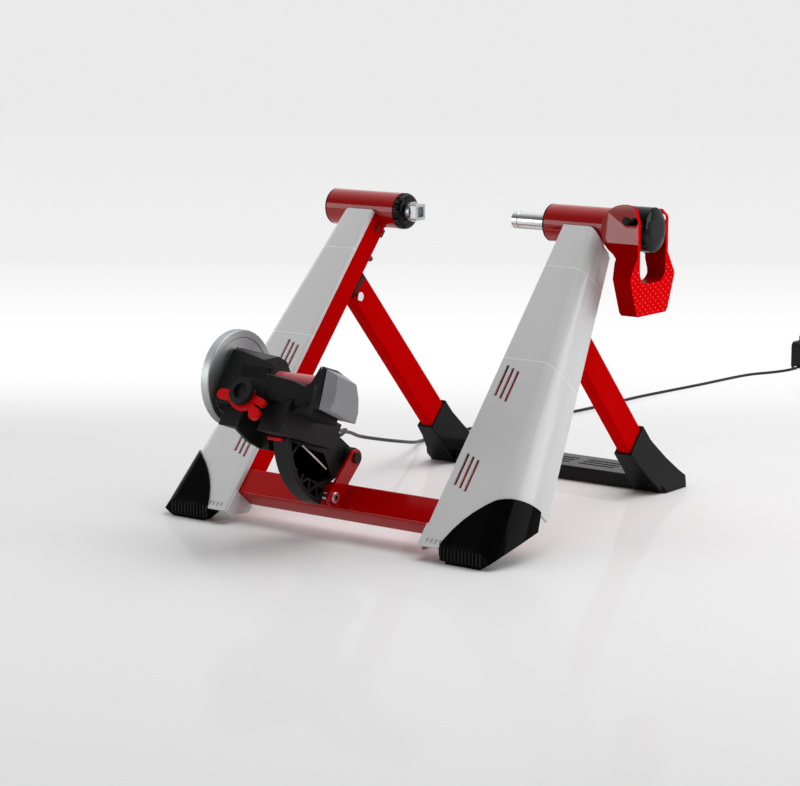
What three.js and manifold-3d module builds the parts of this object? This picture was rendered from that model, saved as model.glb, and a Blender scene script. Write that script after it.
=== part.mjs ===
// Folding magnetic indoor cycle trainer that clamps the rear axle of a bicycle.
// Millimetres. +X runs along the axle to the lever side, +Y is the direction of travel, +Z is up.
// The model is drawn with its origin on the floor below the axle, and the last group moves that
// origin to the middle of the base.

import * as THREE from 'three';
import { mergeVertices } from 'three/addons/utils/BufferGeometryUtils.js';
import Module from 'manifold-3d';

const wasm = await Module();
wasm.setup();

// Driving dimensions

const axleHeight = 385;
const gap = 0.3;
const overrun = 4;
const edgeCut = 1;

// Main frame: two legs that lean back, a tube between them and a round head on each
const legLean = 40.5;
const legInner = 157.5;
const legWidth = 40;
const legDepth = 34;
const legFront = 16;
const legWall = 2.5;
const legLength = 500;
const legCorner = 3;
const crossFromEnd = 67;
const crossTop = legLength - crossFromEnd;
const crossWidth = 38;
const crossDepth = 32;
const crossCorner = 3;
const headRadius = 25;
const headWall = 3;
const leftHeadOuter = -244;
const leftHeadInner = -128;
const rightHeadInner = 122;
const rightHeadOuter = 238;

// Leg covers
const coverFace = 25;
const coverWall = 2.6;
const coverTop = 18;
const coverBeyond = 3;
const coverEnd = legLength + coverBeyond;
const coverFlatTop = 197;
const coverFlatEnd = 242.3;
const coverSideTop = 214.5;
const coverSideEnd = 280.3;
const coverRoundTop = 26;
const coverRoundEnd = 71.5;
const coverStraight = 15;
const coverTopCorner = 18;
const coverFloorGap = 7;
const capDrop = 13;
const capRound = 14;
const tubeFloorGap = 13;
const slotWidth = 4.4;
const slotPitch = 9.2;
const slotStep = 3.4;
const slotLength = 46;
const slotUpper = 240;
const slotLower = 372;
const slotInset = 11;
const slotCount = 3;
const tabDepth = 6;
const tabPitch = 6.6;
const tabWidth = 4.2;
const tabInset = 8;
const tabUp = 11;
const tabCount = 4;

// Front feet
const footInner = 188;
const footFrontInner = 213;
const footLimit = 310;
const footArch = [[200, 45], [240, 75], [310, 124]];
const footBelow = 37;
const footHeel = coverEnd + footBelow;
const footProud = 3;
const footBack = -345;
const footSole = 250;
const soleDepth = 18;
const soleRiseShare = 0.4;
const soleTip = [269, 105, 34];
const soleSide = [21.6, 18, 17];
const grooveCount = 11;
const groovePitch = 5.4;
const grooveWidth = 2.8;
const grooveDepth = 2.5;
const grooveTop = 20;
const grooveBottom = 4;

// Left head: end plug, lock ring and adjustable cup
const plugRim = 2;
const plugDepth = 12;
const ringLength = 11.7;
const ringDome = 7;
const domeSteps = 4;
const ringBore = 10.6;
const ringRibs = 24;
const ringRibDepth = 1.2;
const cupStem = 10;
const cupStemLength = 70;
const flangeRadius = 14;
const flangeThick = 8;
const cupSquare = 22;
const cupLength = 10;
const cupRecess = 5;
const cupRecessHalf = 7;
const cupRecessCorner = 1.5;

// Right head: bush, plunger, spring, cam block and lever
const plungerTip = 61;
const plungerRadius = 12;
const plungerShoulder = 150;
const plungerRod = 7;
const plungerTail = 230;
const plungerGroove = 9;
const grooveRing = 2;
const plungerRecess = 5;
const plungerRecessRadius = 8;
const bushRim = 2;
const bushLength = 14;
const springRadius = 11;
const springWire = 2;
const springTurns = 8;
const springStart = plungerShoulder + springWire + gap;
const springEnd = 212;
const springSteps = 8;
const camRadius = 27;
const camStart = 238.5;
const camEnd = 277;
const camDome = 5;
const camTallShare = 1.09;
const camBore = 8.2;
const camBoreEnd = 258;
const leverPivotX = 257;
const leverPivotUp = 13;
const leverPinRadius = 5;
const leverPinProud = 0.6;
const leverFace = 276;
const leverEarRadius = 34;
const leverEarX = 254;
const leverEarOuter = 37;
const leverSlotHalf = 31;
const leverSlotCorner = 17;
const leverSlotFoot = 317;
const leverShoulder = 349;
const leverWide = 55;
const leverWideAt = 325;
const leverFootHalf = 38.5;
const leverFootAt = 275.5;
const leverNeck = 250;
const leverCorner = 5;
const leverPinSlot = 13;
const farEarTop = [24, 12];
const farEarFrom = 267;

// Rear legs that fold about a bolt near the top of each main leg
const pivotY = -61;
const pivotZ = 270;
const rearLean = 41.8;
const rearInner = 158;
const rearWidth = 20;
const rearDepth = 42;
const rearUnder = 11.5;
const rearWall = 2;
const rearCorner = 4;
const rearTop = 7;
const rearLength = 305;
const boltRadius = 4;
const boltHead = 6.5;
const boltHeadHeight = 4;
const boltSides = 6;
const lugThick = 7;
const lugRadius = 12;
const capRise = 8;
const bumperRadius = 4;
const bumperLength = 12;
const bumperDown = 66;
const clipWidth = 24;
const clipDepth = 6;
const clipDown = 21;
const clipHeight = 12;
const screwRadius = 3.2;
const screwHeight = 1.2;
const screwDown = 32;

// Rear feet and the bar between them
const bootBack = 163;
const bootFront = 233;
const bootInner = 153;
const bootOuter = 202;
const bootLipInner = 155;
const bootLipOuter = 181.5;
const bootTop = 97;
const bootHeel = [[106, 61], [128, 37], [149, 13]];
const bootToe = [[237, 6], [234, 12], [212, 30], [158, 76], [139, 97]];
const bootFlank = [[202, 5], [192, 22], [185, 45], [181.5, 70]];
const bootCorner = 4;
const barBack = 160;
const barFront = 238;
const barHeight = 19;
const barWall = 3;
const barFloorGap = 2;
const barSlotCount = 3;
const barSlotLength = 60;
const barSlotWidth = 5;
const barSlotPitch = 13;
const barSlotSet = 75;
const coreWidth = 40;
const coreHeight = 12;
const coreWall = 2;
const coreReach = 18;

// Bracket on the cross tube that carries the swinging unit
const bracketRight = 13;
const bracketLeft = -44;
const bracketPlate = 4;
const swingY = -285;
const swingZ = 100;
const swingPinRadius = 5;
const swingPinHead = 7.5;
const swingPinHeadHeight = 3;
const earRadius = 11.5;
const clampDown = 464.5;
const clampOut = 38;
const clampRadius = 4;
const clampHead = 7;
const clampHeadHeight = 4;

// Swinging resistance unit
const rollerY = -387;
const rollerZ = 206;
const rollerRadius = 16;
const rollerLeft = -29;
const rollerRight = 43;
const shaftRadius = 6;
const rollerPlay = 1;
const shaftLeft = -107;
const shaftRight = 66;
const flywheelRadius = 62;
const flywheelLeft = -105;
const flywheelRight = -92;
const flywheelRim = 9;
const flywheelDish = 3;
const flywheelHub = 15;
const hubProud = 1;
const bearingRadius = 13;
const bearingWidth = 9;
const bearingRace = 5;
const bearingLip = 2;
const sideLeft = -88;
const sideRight = -33;
const panelRight = -14;
const panelHigh = [-406, 246];
const panelLow = [-444, 186];
const sidePoints = [panelLow, panelHigh, [-398, 248], [-366, 231], [-357, 213], [-361, 172], [-425, 180]];
const panelDepth = 16;
const sideCrownLeft = 249;
const sideCrownRight = 235;
const wallLeft = 46;
const wallRight = 54;
const wallRadius = 24;
const caseLeft = 54.3;
const caseSplit = 62;
const caseRight = 79;
const caseWall = 3;
const caseNear = [
  [-421, 189], [-417, 205], [-412, 220], [-404, 239], [-373, 229], [-361, 202], [-361, 180], [-371, 166]];
const caseFar = [
  [-421, 189], [-411, 200], [-407, 214], [-405, 230], [-367, 213], [-363, 195], [-364, 177], [-370, 164]];
const rotorRadius = 13.4;
const rotorLeft = 61;
const rotorRight = 65;
const carrierLeft = 68;
const carrierRight = 72;
const magnetCount = 6;
const magnetRadius = 2.9;
const magnetRing = 10.3;
const magnetRise = 1.5;
const carrierPlay = 2;
const armLeft = -77.5;
const armRight = 20;
const armSlotLeft = -46.5;
const armSlotRight = -15;
const armSlotDepth = 45;
const armLeftTop = 179.5;
const armTopBack = [-421, 195];
const armTopFront = [-323, 150];
const armLowFront = [-339, 120];
const armLowBack = [-447, 158];
const bellyPoints = [
  [-444, 165], [-370, 165], [-350, 121], [-376, 117], [-399, 122], [-425, 136], [-444, 153]];
const bellyLeft = -52;
const bellyRight = -34;
const beamLeft = -13.7;
const beamBack = -430;
const beamLength = 71;
const beamSkew = 20;
const beamThick = 4.5;
const beamTopLeft = 226;
const beamTopRight = 207;
const beamLowLeft = 196;
const beamLowRight = 185;
const beamFoot = 52;
const hornFrom = 50;
const hornKnee = 59;
const hornKneeTop = 218;
const hornTop = 238;
const webPoints = [[-414, 191], [-372, 172], [-376, 160], [-424, 182]];
const quadrantY = -302;
const quadrantZ = 141;
const quadrantRadius = 102;
const quadrantLeft = -25;
const quadrantRight = 0;
const quadrantRim = 4;
const quadrantTruss = 17;
const quadrantRib = 3;
const quadrantWeb = 5;
const quadrantBays = 5;
const quadrantStart = 180;
const quadrantEnd = 247;
const pocketFrom = 190;
const pocketTo = 236;
const pocketLow = [-320, 79];
const pocketHigh = [-334, 112];
const hubRadius = 13;
const hubTurn = Math.PI * 0.4;
const linkAt = [-305, 131];
const rodRadius = 1.2;
const rodSpread = 1.8;
const rodHigh = [-378, 130];
const rodAt = -5;
const rodLow = [-321, 87];
const stopLeft = -31;
const stopRight = -8;
const stopDepth = 4;
const stopHeight = 4;
const stopDown = 142;
const knobX = -39.5;
const knobDown = 57.5;
const knobRadius = 17.5;
const knobHeight = 8.4;
const knobStud = 9;
const leverCollar = 4;
const knobRibs = 20;
const knobRibDepth = 1.2;
const knobRecess = 10;
const knobRecessDepth = 5;
const leverThick = 6;
const leverRing = 4.5;
const leverFrom = 188;
const leverTo = 352;
const leverTab = [-35, -4];
const leverTabWidth = 6.5;
const leverLobe = [26, -24];
const leverLobeRadius = 8;
const leverClip = [31, -9];
const leverClipRadius = 5;
const neckShare = 0.65;
const labelWidth = 44;
const labelHeight = 13;
const labelThick = 1.2;
const labelUp = 26;
const glandX = 8;
const glandAt = [-326.5, 141];
const glandRadius = 3.8;
const glandLength = 11;
const glandFlange = 5.5;
const glandFlangeThick = 2.5;

// Control cable and handlebar shifter
const cableRadius = 2.5;
const cableSides = 10;
const cableSteps = 78;
const cablePoints = [[-4, -285, 134], [-52, -234, 120], [-100, -154, 100], [-150, -69, 76], [-193, 32, 51],
  [-223, 118, 31], [-254, 195, 14], [-285, 256, 3.4], [-290, 330, 3.4], [-262, 470, 3.4], [-235, 602, 3.4],
  [-227, 700, 3.4], [-223, 786, 3.4], [-213, 870, 3.4], [-203, 949, 3.4], [-186, 1093, 3.4],
  [-168, 1135, 3.4],
  [-155, 1163, 4.2]];
const shifterX = -150;
const shifterBack = 1206;
const shifterWidth = 32;
const shifterLength = 62;
const shifterHeight = 50;
const shifterCorner = 9;
const shifterBarY = 1240;
const shifterBarZ = 20;
const barRadius = 12.7;
const strapThick = 4;
const strapSplit = 1;
const dialRadius = 15;
const dialHeight = 8;
const thumbLength = 44;
const thumbWidth = 12;
const ferruleRadius = 4;
const ferruleLength = 12;
const ferruleZ = 5;

// Round resolution
const roundFine = 40;
const roundMid = 24;
const roundSmall = 12;
const curveSteps = 6;

// Colours
const redPaint = new THREE.MeshStandardMaterial({ color: 0xb00010, roughness: 0.3, metalness: 0.1 });
const redPlastic = new THREE.MeshStandardMaterial({ color: 0xd8101c, roughness: 0.4, metalness: 0 });
const whitePlastic = new THREE.MeshStandardMaterial({ color: 0xe4e4e4, roughness: 0.25, metalness: 0 });
const blackPlastic = new THREE.MeshStandardMaterial({ color: 0x1c1c1e, roughness: 0.55, metalness: 0 });
const blackGloss = new THREE.MeshStandardMaterial({ color: 0x0a0a0b, roughness: 0.15, metalness: 0 });
const greyPlastic = new THREE.MeshStandardMaterial({ color: 0x77777b, roughness: 0.5, metalness: 0 });
const blackRubber = new THREE.MeshStandardMaterial({ color: 0x161617, roughness: 0.8, metalness: 0 });
const chrome = new THREE.MeshStandardMaterial({ color: 0xd5d7d9, roughness: 0.12, metalness: 1 });
const steel = new THREE.MeshStandardMaterial({ color: 0x9a9c9e, roughness: 0.35, metalness: 1 });
const aluminium = new THREE.MeshStandardMaterial({ color: 0xb8babd, roughness: 0.4, metalness: 1 });
const elastomer = new THREE.MeshStandardMaterial({ color: 0xc22a33, roughness: 0.5, metalness: 0 });

// Solids

const degrees = THREE.MathUtils.degToRad;

// One closed surface with shared corners and its faces pointing out
function closed(geometry) {
  const bare = geometry.index ? geometry.toNonIndexed() : geometry.clone();
  bare.deleteAttribute('normal');
  bare.deleteAttribute('uv');
  const merged = mergeVertices(bare, 1e-4);
  const p = merged.attributes.position;
  const source = merged.index.array;
  const faces = [];
  let volume = 0;
  const a = new THREE.Vector3();
  const b = new THREE.Vector3();
  const c = new THREE.Vector3();
  for (let i = 0; i < source.length; i += 3) {
    const [i0, i1, i2] = [source[i], source[i + 1], source[i + 2]];
    if (i0 === i1 || i1 === i2 || i2 === i0) continue;
    faces.push(i0, i1, i2);
    a.fromBufferAttribute(p, i0);
    b.fromBufferAttribute(p, i1);
    c.fromBufferAttribute(p, i2);
    volume += a.dot(b.cross(c));
  }
  if (volume < 0) {
    for (let i = 0; i < faces.length; i += 3) [faces[i + 1], faces[i + 2]] = [faces[i + 2], faces[i + 1]];
  }
  merged.setIndex(faces);
  return merged;
}

function solid(geometry) {
  const g = closed(geometry);
  return new wasm.Manifold(new wasm.Mesh({
    numProp: 3,
    vertProperties: new Float32Array(g.attributes.position.array),
    triVerts: new Uint32Array(g.index.array),
  }));
}

function surface(body) {
  const mesh = body.getMesh();
  const g = new THREE.BufferGeometry();
  g.setAttribute('position', new THREE.BufferAttribute(new Float32Array(mesh.vertProperties), 3));
  g.setIndex(new THREE.BufferAttribute(new Uint32Array(mesh.triVerts), 1));
  return g;
}

function cut(body, ...tools) {
  return tools.reduce((left, tool) => left.subtract(solid(tool)), body);
}

function join(first, ...others) {
  return others.reduce((sum, other) => sum.add(solid(other)), solid(first));
}

// Outlines

function outline(points) {
  return new THREE.Shape(points.map(([x, y]) => new THREE.Vector2(x, y)));
}

function roundedBox(x0, y0, x1, y1, r) {
  const s = new THREE.Shape();
  s.moveTo(x0 + r, y0);
  s.lineTo(x1 - r, y0);
  s.absarc(x1 - r, y0 + r, r, -Math.PI / 2, 0);
  s.lineTo(x1, y1 - r);
  s.absarc(x1 - r, y1 - r, r, 0, Math.PI / 2);
  s.lineTo(x0 + r, y1);
  s.absarc(x0 + r, y1 - r, r, Math.PI / 2, Math.PI);
  s.lineTo(x0, y0 + r);
  s.absarc(x0 + r, y0 + r, r, Math.PI, Math.PI * 1.5);
  return s;
}

function hollow(shape, hole) {
  shape.holes.push(hole);
  return shape;
}

function extruded(shape, depth, curveSegments = 4) {
  return new THREE.ExtrudeGeometry(shape, { depth, bevelEnabled: false, curveSegments });
}

// An outline in Y and Z, pushed along X
function alongX(shape, x0, x1, segments) {
  const g = extruded(shape, x1 - x0, segments);
  g.applyMatrix4(new THREE.Matrix4().set(0, 0, 1, x0, 1, 0, 0, 0, 0, 1, 0, 0, 0, 0, 0, 1));
  return g;
}

// An outline in X and Z, pushed along Y
function alongY(shape, y0, y1, segments) {
  const g = extruded(shape, y1 - y0, segments);
  g.applyMatrix4(new THREE.Matrix4().set(1, 0, 0, 0, 0, 0, -1, y1, 0, 1, 0, 0, 0, 0, 0, 1));
  return g;
}

// An outline in X and Y, pushed along Z
function alongZ(shape, z0, z1, segments) {
  return extruded(shape, z1 - z0, segments).translate(0, 0, z0);
}

// A turned part on the X axis from pairs of radius and place
function turned(points, segments = roundMid) {
  const g = new THREE.LatheGeometry(points.map(([r, at]) => new THREE.Vector2(r, at)), segments);
  return g.rotateZ(-Math.PI / 2);
}

function rod(radius, x0, x1, segments = roundMid) {
  return turned([[0, x0], [radius, x0], [radius, x1], [0, x1]], segments);
}

function sleeve(inner, outer, x0, x1, segments = roundMid) {
  return turned([[inner, x0], [outer, x0], [outer, x1], [inner, x1], [inner, x0]], segments);
}

function block(x0, x1, y0, y1, z0, z1) {
  const box = new THREE.BoxGeometry(x1 - x0, y1 - y0, z1 - z0);
  return box.translate((x0 + x1) / 2, (y0 + y1) / 2, (z0 + z1) / 2);
}

function mirrored(geometry) {
  return geometry.clone().scale(-1, 1, 1);
}

// A bar with a round section between two points
function strut(from, to, radius, segments = roundSmall) {
  const path = new THREE.LineCurve3(new THREE.Vector3(...from), new THREE.Vector3(...to));
  const section = new THREE.Shape();
  section.absarc(0, 0, radius, 0, Math.PI * 2);
  return new THREE.ExtrudeGeometry(section, {
    steps: 1, bevelEnabled: false, extrudePath: path, curveSegments: segments / 2 });
}

// Frames: the whole, the leaning main legs, and the folding rear legs

const trainer = new THREE.Group();
const legs = new THREE.Group();
legs.position.set(0, 0, axleHeight);
legs.rotation.x = -degrees(legLean);
const rear = new THREE.Group();
rear.position.set(0, pivotY, pivotZ);
rear.rotation.x = degrees(rearLean);
const head = new THREE.Group();
head.position.set(0, 0, axleHeight);
trainer.add(legs, rear, head);
trainer.updateMatrixWorld(true);

function intoFrame(geometry, frame) {
  return geometry.applyMatrix4(frame.matrix.clone().invert());
}

function outOfFrame(geometry, frame) {
  return geometry.applyMatrix4(frame.matrix);
}

function put(frame, name, shape, material) {
  const geometry = shape.isBufferGeometry ? closed(shape) : surface(shape);
  const mesh = new THREE.Mesh(geometry, material);
  mesh.name = name;
  frame.add(mesh);
  return mesh;
}

const sides = [['left', -1], ['right', 1]];

function forSide(geometry, side) {
  return side < 0 ? mirrored(geometry) : geometry;
}

// Everything below the floor, or near it, cut away
const wide = 2 * footLimit;
function floorCut(height, frame) {
  return intoFrame(block(-wide, wide, -wide, wide, -wide, height), frame);
}

// Main leg tubes: rectangular steel tube, saddled to the head tube

const legBack = legFront - legDepth;

const pivotInLeg = new THREE.Vector3(0, pivotY, pivotZ).applyMatrix4(legs.matrix.clone().invert());
const lugStart = rearInner + rearWidth + gap;

// The lug on the front of each leg that carries the hinge bolt of the rear leg
function hingeLug() {
  const eye = new THREE.Shape();
  eye.absarc(pivotInLeg.y, pivotInLeg.z, lugRadius, 0, Math.PI * 2);
  const reach = block(lugStart, lugStart + lugThick, legFront - legWall / 2, pivotInLeg.y,
    pivotInLeg.z - lugRadius, pivotInLeg.z + lugRadius);
  const hole = rod(boltRadius + gap, 0, wide, roundSmall).translate(0, pivotInLeg.y, pivotInLeg.z);
  return cut(join(alongX(eye, lugStart, lugStart + lugThick, roundSmall / 2), reach), hole);
}

function legTube() {
  const section = hollow(
    roundedBox(legInner, legBack, legInner + legWidth, legFront, legCorner),
    roundedBox(legInner + legWall, legBack + legWall, legInner + legWidth - legWall, legFront - legWall,
      legCorner - legWall / 2));
  const tube = solid(alongZ(section, -legLength, -headRadius / 2, 3));
  const saddle = rod(headRadius + gap, 0, wide, roundFine);
  return cut(tube, saddle, floorCut(tubeFloorGap, legs)).add(hingeLug());
}

// Leg covers: a moulded shell over the back and outer side of each leg, wider towards the floor

// A size that grows evenly down the leg, from the top of the cover to its end
function along(top, end, down) {
  return top + ((end - top) * (down - coverTop)) / (coverEnd - coverTop);
}

// Half widths and depths of the cover at a distance down the leg, grown by what stands proud of it
function coverSizes(down, proud) {
  return {
    flat: along(coverFlatTop, coverFlatEnd, down),
    side: along(coverSideTop, coverSideEnd, down) + proud,
    back: -coverFace - proud,
    round: along(coverRoundTop, coverRoundEnd, down) + proud,
  };
}

function coverSection(down) {
  const { flat, side, back, round } = coverSizes(down, 0);
  const x0 = legInner - gap;
  const lip = legBack - gap;
  const front = back + round + coverStraight;
  const s = new THREE.Shape();
  s.moveTo(x0, lip);
  s.lineTo(x0, back + coverWall);
  s.quadraticCurveTo(x0, back, x0 + coverWall, back);
  s.lineTo(flat, back);
  s.absellipse(flat, back + round, side - flat, round, -Math.PI / 2, 0, false);
  s.lineTo(side, front);
  s.lineTo(side - coverWall, front);
  s.lineTo(side - coverWall, back + round);
  s.absellipse(flat, back + round, side - flat - coverWall, round - coverWall, 0, -Math.PI / 2, true);
  s.lineTo(x0 + coverWall, back + coverWall);
  s.lineTo(x0 + coverWall, lip);
  s.lineTo(x0, lip);
  return s;
}

// A solid between two outlines with the same number of points, the first at the top
function loft(top, end, z0, z1, segments) {
  const g = alongZ(top, z0, z1, segments);
  const from = top.extractPoints(segments).shape;
  const to = end.extractPoints(segments).shape;
  const p = g.attributes.position;
  for (let i = 0; i < p.count; i += 1) {
    if (Math.abs(p.getZ(i) - z0) < Math.abs(p.getZ(i) - z1)) {
      const here = new THREE.Vector2(p.getX(i), p.getY(i));
      const nearest = from.reduce((best, q, k) => (
        q.distanceToSquared(here) < from[best].distanceToSquared(here) ? k : best), 0);
      p.setXY(i, to[nearest].x, to[nearest].y);
    }
  }
  return g;
}

function coverSlots(step) {
  const slots = [];
  for (const start of [slotUpper, slotLower]) {
    for (let i = 0; i < slotCount; i += 1) {
      const x = legInner + slotInset + i * slotPitch;
      const top = -start - (i - 1) * step;
      slots.push(block(x, x + slotWidth, -coverFace - overrun, -coverFace + coverWall + overrun / 2,
        top - slotLength, top));
    }
  }
  for (let i = 0; i < tabCount; i += 1) {
    const x = legInner + tabInset + i * tabPitch;
    slots.push(block(x, x + tabWidth, -coverFace - overrun, -coverFace + coverWall / 2,
      -coverEnd + tabUp - tabDepth, -coverEnd + tabUp));
  }
  return slots;
}

function topCorner() {
  const x = coverSideTop;
  const s = new THREE.Shape();
  s.moveTo(x + overrun, -coverTop + overrun);
  s.lineTo(x - coverTopCorner, -coverTop + overrun);
  s.lineTo(x - coverTopCorner, -coverTop);
  s.absarc(x - coverTopCorner, -coverTop - coverTopCorner, coverTopCorner, Math.PI / 2, 0, true);
  s.lineTo(x + overrun, -coverTop - coverTopCorner);
  s.lineTo(x + overrun, -coverTop + overrun);
  return alongY(s, -wide, wide, curveSteps);
}

// Cap below the cross tube, which closes the inner side of the leg's end
function endCap() {
  const top = -crossTop - crossWidth - gap;
  const s = new THREE.Shape();
  s.moveTo(-coverFace + coverWall / 2, top);
  s.lineTo(legFront, top);
  s.lineTo(legFront, top - capDrop + capRound / 2);
  s.quadraticCurveTo(legFront, top - capDrop, legFront - capRound, top - capDrop - capRound / 2);
  s.lineTo(-coverFace + capRound, -coverEnd);
  s.lineTo(-coverFace + coverWall / 2, -coverEnd);
  s.lineTo(-coverFace + coverWall / 2, top);
  const plate = alongX(s, legInner - gap - coverWall, legInner - gap, curveSteps);
  const root = block(legInner - gap - coverWall, legInner + coverWall / 2, -coverFace + coverWall / 2,
    legBack - gap, -coverEnd, top);
  return join(plate, root);
}

// Front feet: a moulded boot on the end of each leg, with an arched top edge and a grooved back

function footSection(down) {
  const { flat, side, back, round } = coverSizes(down, footProud);
  const front = back + round + coverStraight;
  const s = new THREE.Shape();
  s.moveTo(footInner, legBack - gap);
  s.lineTo(footInner, back);
  s.lineTo(flat, back);
  s.absellipse(flat, back + round, side - flat, round, -Math.PI / 2, 0, false);
  s.lineTo(side, front);
  s.lineTo(footFrontInner, front);
  s.lineTo(footFrontInner, legFront + gap);
  s.lineTo(legInner + legWidth + gap, legFront + gap);
  s.lineTo(legInner + legWidth + gap, legBack - gap);
  s.lineTo(footInner, legBack - gap);
  return s;
}

// What lies below the arch, with its points moved up the leg by a margin
function belowArch(margin, inner, outer) {
  const [bend, crown, edge] = footArch;
  const s = new THREE.Shape();
  s.moveTo(inner, -footHeel);
  const level = margin - coverEnd;
  s.lineTo(inner, level);
  s.quadraticCurveTo(bend[0], bend[1] + level, crown[0], crown[1] + level);
  s.lineTo(edge[0], edge[1] + level);
  s.lineTo(outer, edge[1] + level);
  s.lineTo(outer, -footHeel);
  s.lineTo(inner, -footHeel);
  return alongY(s, -wide, wide, curveSteps);
}

// The sole rises to the front, and outwards from its flat patch on the floor
function soleCuts() {
  const heel = new THREE.Vector3(footSole, footBack, 0);
  const tip = new THREE.Vector3(soleTip[0] - footSole, soleTip[1], soleTip[2]);
  const slope = new THREE.Vector3(...soleSide).cross(tip);
  const under = block(-wide, wide, -wide, wide, -wide, 0);
  const tilt = new THREE.Quaternion().setFromUnitVectors(new THREE.Vector3(0, 0, 1), slope.normalize());
  const side = under.clone().applyQuaternion(tilt).translate(...heel.toArray());
  const front = under.clone().rotateX(Math.atan(soleRiseShare)).translate(0, footBack + soleDepth, 0);
  return [side, front].map((geometry) => intoFrame(geometry, legs));
}

function frontFoot() {
  const back = intoFrame(block(-wide, wide, -wide, footBack, -wide, wide), legs);
  const blank = solid(loft(footSection(coverTop), footSection(footHeel), -footHeel, -coverTop, curveSteps));
  const arched = blank.intersect(solid(belowArch(0, footInner, wide)));
  let foot = cut(arched, back, floorCut(0, legs), ...soleCuts());
  for (let i = 0; i < grooveCount; i += 1) {
    const x = footInner + groovePitch + i * groovePitch;
    foot = cut(foot, intoFrame(block(x, x + grooveWidth, footBack - overrun, footBack + grooveDepth,
      grooveBottom, grooveTop), legs));
  }
  return foot;
}

const coverBlank = (step) => cut(
  solid(loft(coverSection(coverTop), coverSection(coverEnd), -coverEnd, -coverTop, curveSteps)).add(endCap()),
  ...coverSlots(step),
  topCorner(),
  rod(headRadius + gap, 0, wide, roundFine),
  belowArch(gap, footInner - gap, wide),
  floorCut(coverFloorGap, legs));

const legShape = surface(legTube());
const coverShape = surface(coverBlank(slotStep));
const otherCover = surface(coverBlank(-slotStep));
const reliefCircle = new THREE.Shape();
reliefCircle.absarc(leverEarX, axleHeight, leverEarRadius + coverWall, 0, Math.PI * 2);
const leverRelief = intoFrame(alongY(reliefCircle, -leverWide, leverWide, roundSmall), legs);
const reliefShape = surface(cut(solid(coverShape), leverRelief));
const footShape = surface(frontFoot());
for (const [word, side] of sides) {
  put(legs, `${word}_leg_tube`, forSide(legShape, side), redPaint);
  put(legs, `${word}_leg_cover`, side < 0 ? mirrored(otherCover) : reliefShape, whitePlastic);
  put(legs, `${word}_front_foot`, forSide(footShape, side), blackGloss);
  const bumper = alongY(new THREE.Shape().absarc(legInner + rearWidth / 2, -bumperDown, bumperRadius, 0,
    Math.PI * 2), legFront + gap, legFront + bumperLength, roundSmall / 2);
  put(legs, `${word}_fold_bumper`, forSide(bumper, side), greyPlastic);
  const clip = block(legInner + legCorner, legInner + legCorner + clipWidth, legFront + gap,
    legFront + clipDepth, -clipDown - clipHeight, -clipDown);
  put(legs, `${word}_top_clip`, forSide(clip, side), blackPlastic);
}

// Screw heads that hold the top of each cover to the inner side of its leg
const screwShape = rod(screwRadius, legInner - gap - screwHeight, legInner - gap, roundSmall);
screwShape.translate(0, 0, -screwDown);
for (const [word, side] of sides) {
  put(legs, `${word}_cover_screw`, forSide(screwShape, side), blackPlastic);
}

// Cross tube between the legs, near the floor

const crossBack = legBack;
put(legs, 'cross_tube', alongX(hollow(
  roundedBox(crossBack, -crossTop - crossWidth, crossBack + crossDepth, -crossTop, crossCorner),
  roundedBox(crossBack + legWall, -crossTop - crossWidth + legWall, crossBack + crossDepth - legWall,
    -crossTop - legWall, crossCorner - legWall / 2)), -legInner + gap, legInner - gap, 3), redPaint);

// Left head: tube, end plug, ribbed lock ring, thrust flange and threaded cup

const headBore = headRadius - headWall;
put(head, 'left_head_tube', sleeve(headBore, headRadius, leftHeadOuter, leftHeadInner, roundFine), redPaint);
put(head, 'left_end_plug', turned([
  [0, leftHeadOuter - plugRim], [headRadius, leftHeadOuter - plugRim], [headRadius, leftHeadOuter - gap],
  [headBore - gap, leftHeadOuter - gap], [headBore - gap, leftHeadOuter + plugDepth],
  [0, leftHeadOuter + plugDepth]], roundFine), blackGloss);

function ribbedRing(radius, depth, ribs, bore) {
  const s = new THREE.Shape();
  for (let i = 0; i < 4 * ribs; i += 1) {
    const angle = (i + 0.5) * Math.PI / (2 * ribs);
    const r = i % 4 < 2 ? radius : radius - depth;
    const point = [r * Math.cos(angle), r * Math.sin(angle)];
    if (i === 0) s.moveTo(...point);
    else s.lineTo(...point);
  }
  s.closePath();
  if (bore > 0) {
    s.holes.push(new THREE.Path().absarc(0, 0, bore, 0, Math.PI * 2));
  }
  return s;
}

const ringStart = leftHeadInner + gap;
const ringEnd = ringStart + ringLength;
const domePoints = [[0, ringStart], [headRadius, ringStart]];
for (let i = 0; i <= domeSteps; i += 1) {
  const angle = (i * Math.PI) / (2 * domeSteps);
  domePoints.push([
    headRadius - ringDome + ringDome * Math.cos(angle), ringEnd - ringDome + ringDome * Math.sin(angle)]);
}
domePoints.push([0, ringEnd]);
const ribbed = alongX(
  ribbedRing(headRadius, ringRibDepth, ringRibs, ringBore), ringStart, ringEnd, roundSmall);
put(head, 'left_lock_ring', solid(ribbed).intersect(solid(turned(domePoints, roundFine))), blackGloss);
const flangeStart = ringEnd + gap;
const flangeEnd = flangeStart + flangeThick;
put(head, 'left_cup_flange', sleeve(cupStem + gap, flangeRadius, flangeStart, flangeEnd), aluminium);
const cupStart = flangeEnd + gap;
const cupHalf = cupSquare / 2;
const cupBody = join(
  alongX(roundedBox(-cupHalf, -cupHalf, cupHalf, cupHalf, legCorner), cupStart, cupStart + cupLength),
  rod(cupStem, cupStart - cupStemLength, cupStart + overrun / 2));
put(head, 'left_cup_screw', cut(cupBody, alongX(
  roundedBox(-cupRecessHalf, -cupRecessHalf, cupRecessHalf, cupRecessHalf, cupRecessCorner),
  cupStart + cupLength - cupRecess, cupStart + cupLength + overrun)), aluminium);

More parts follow.
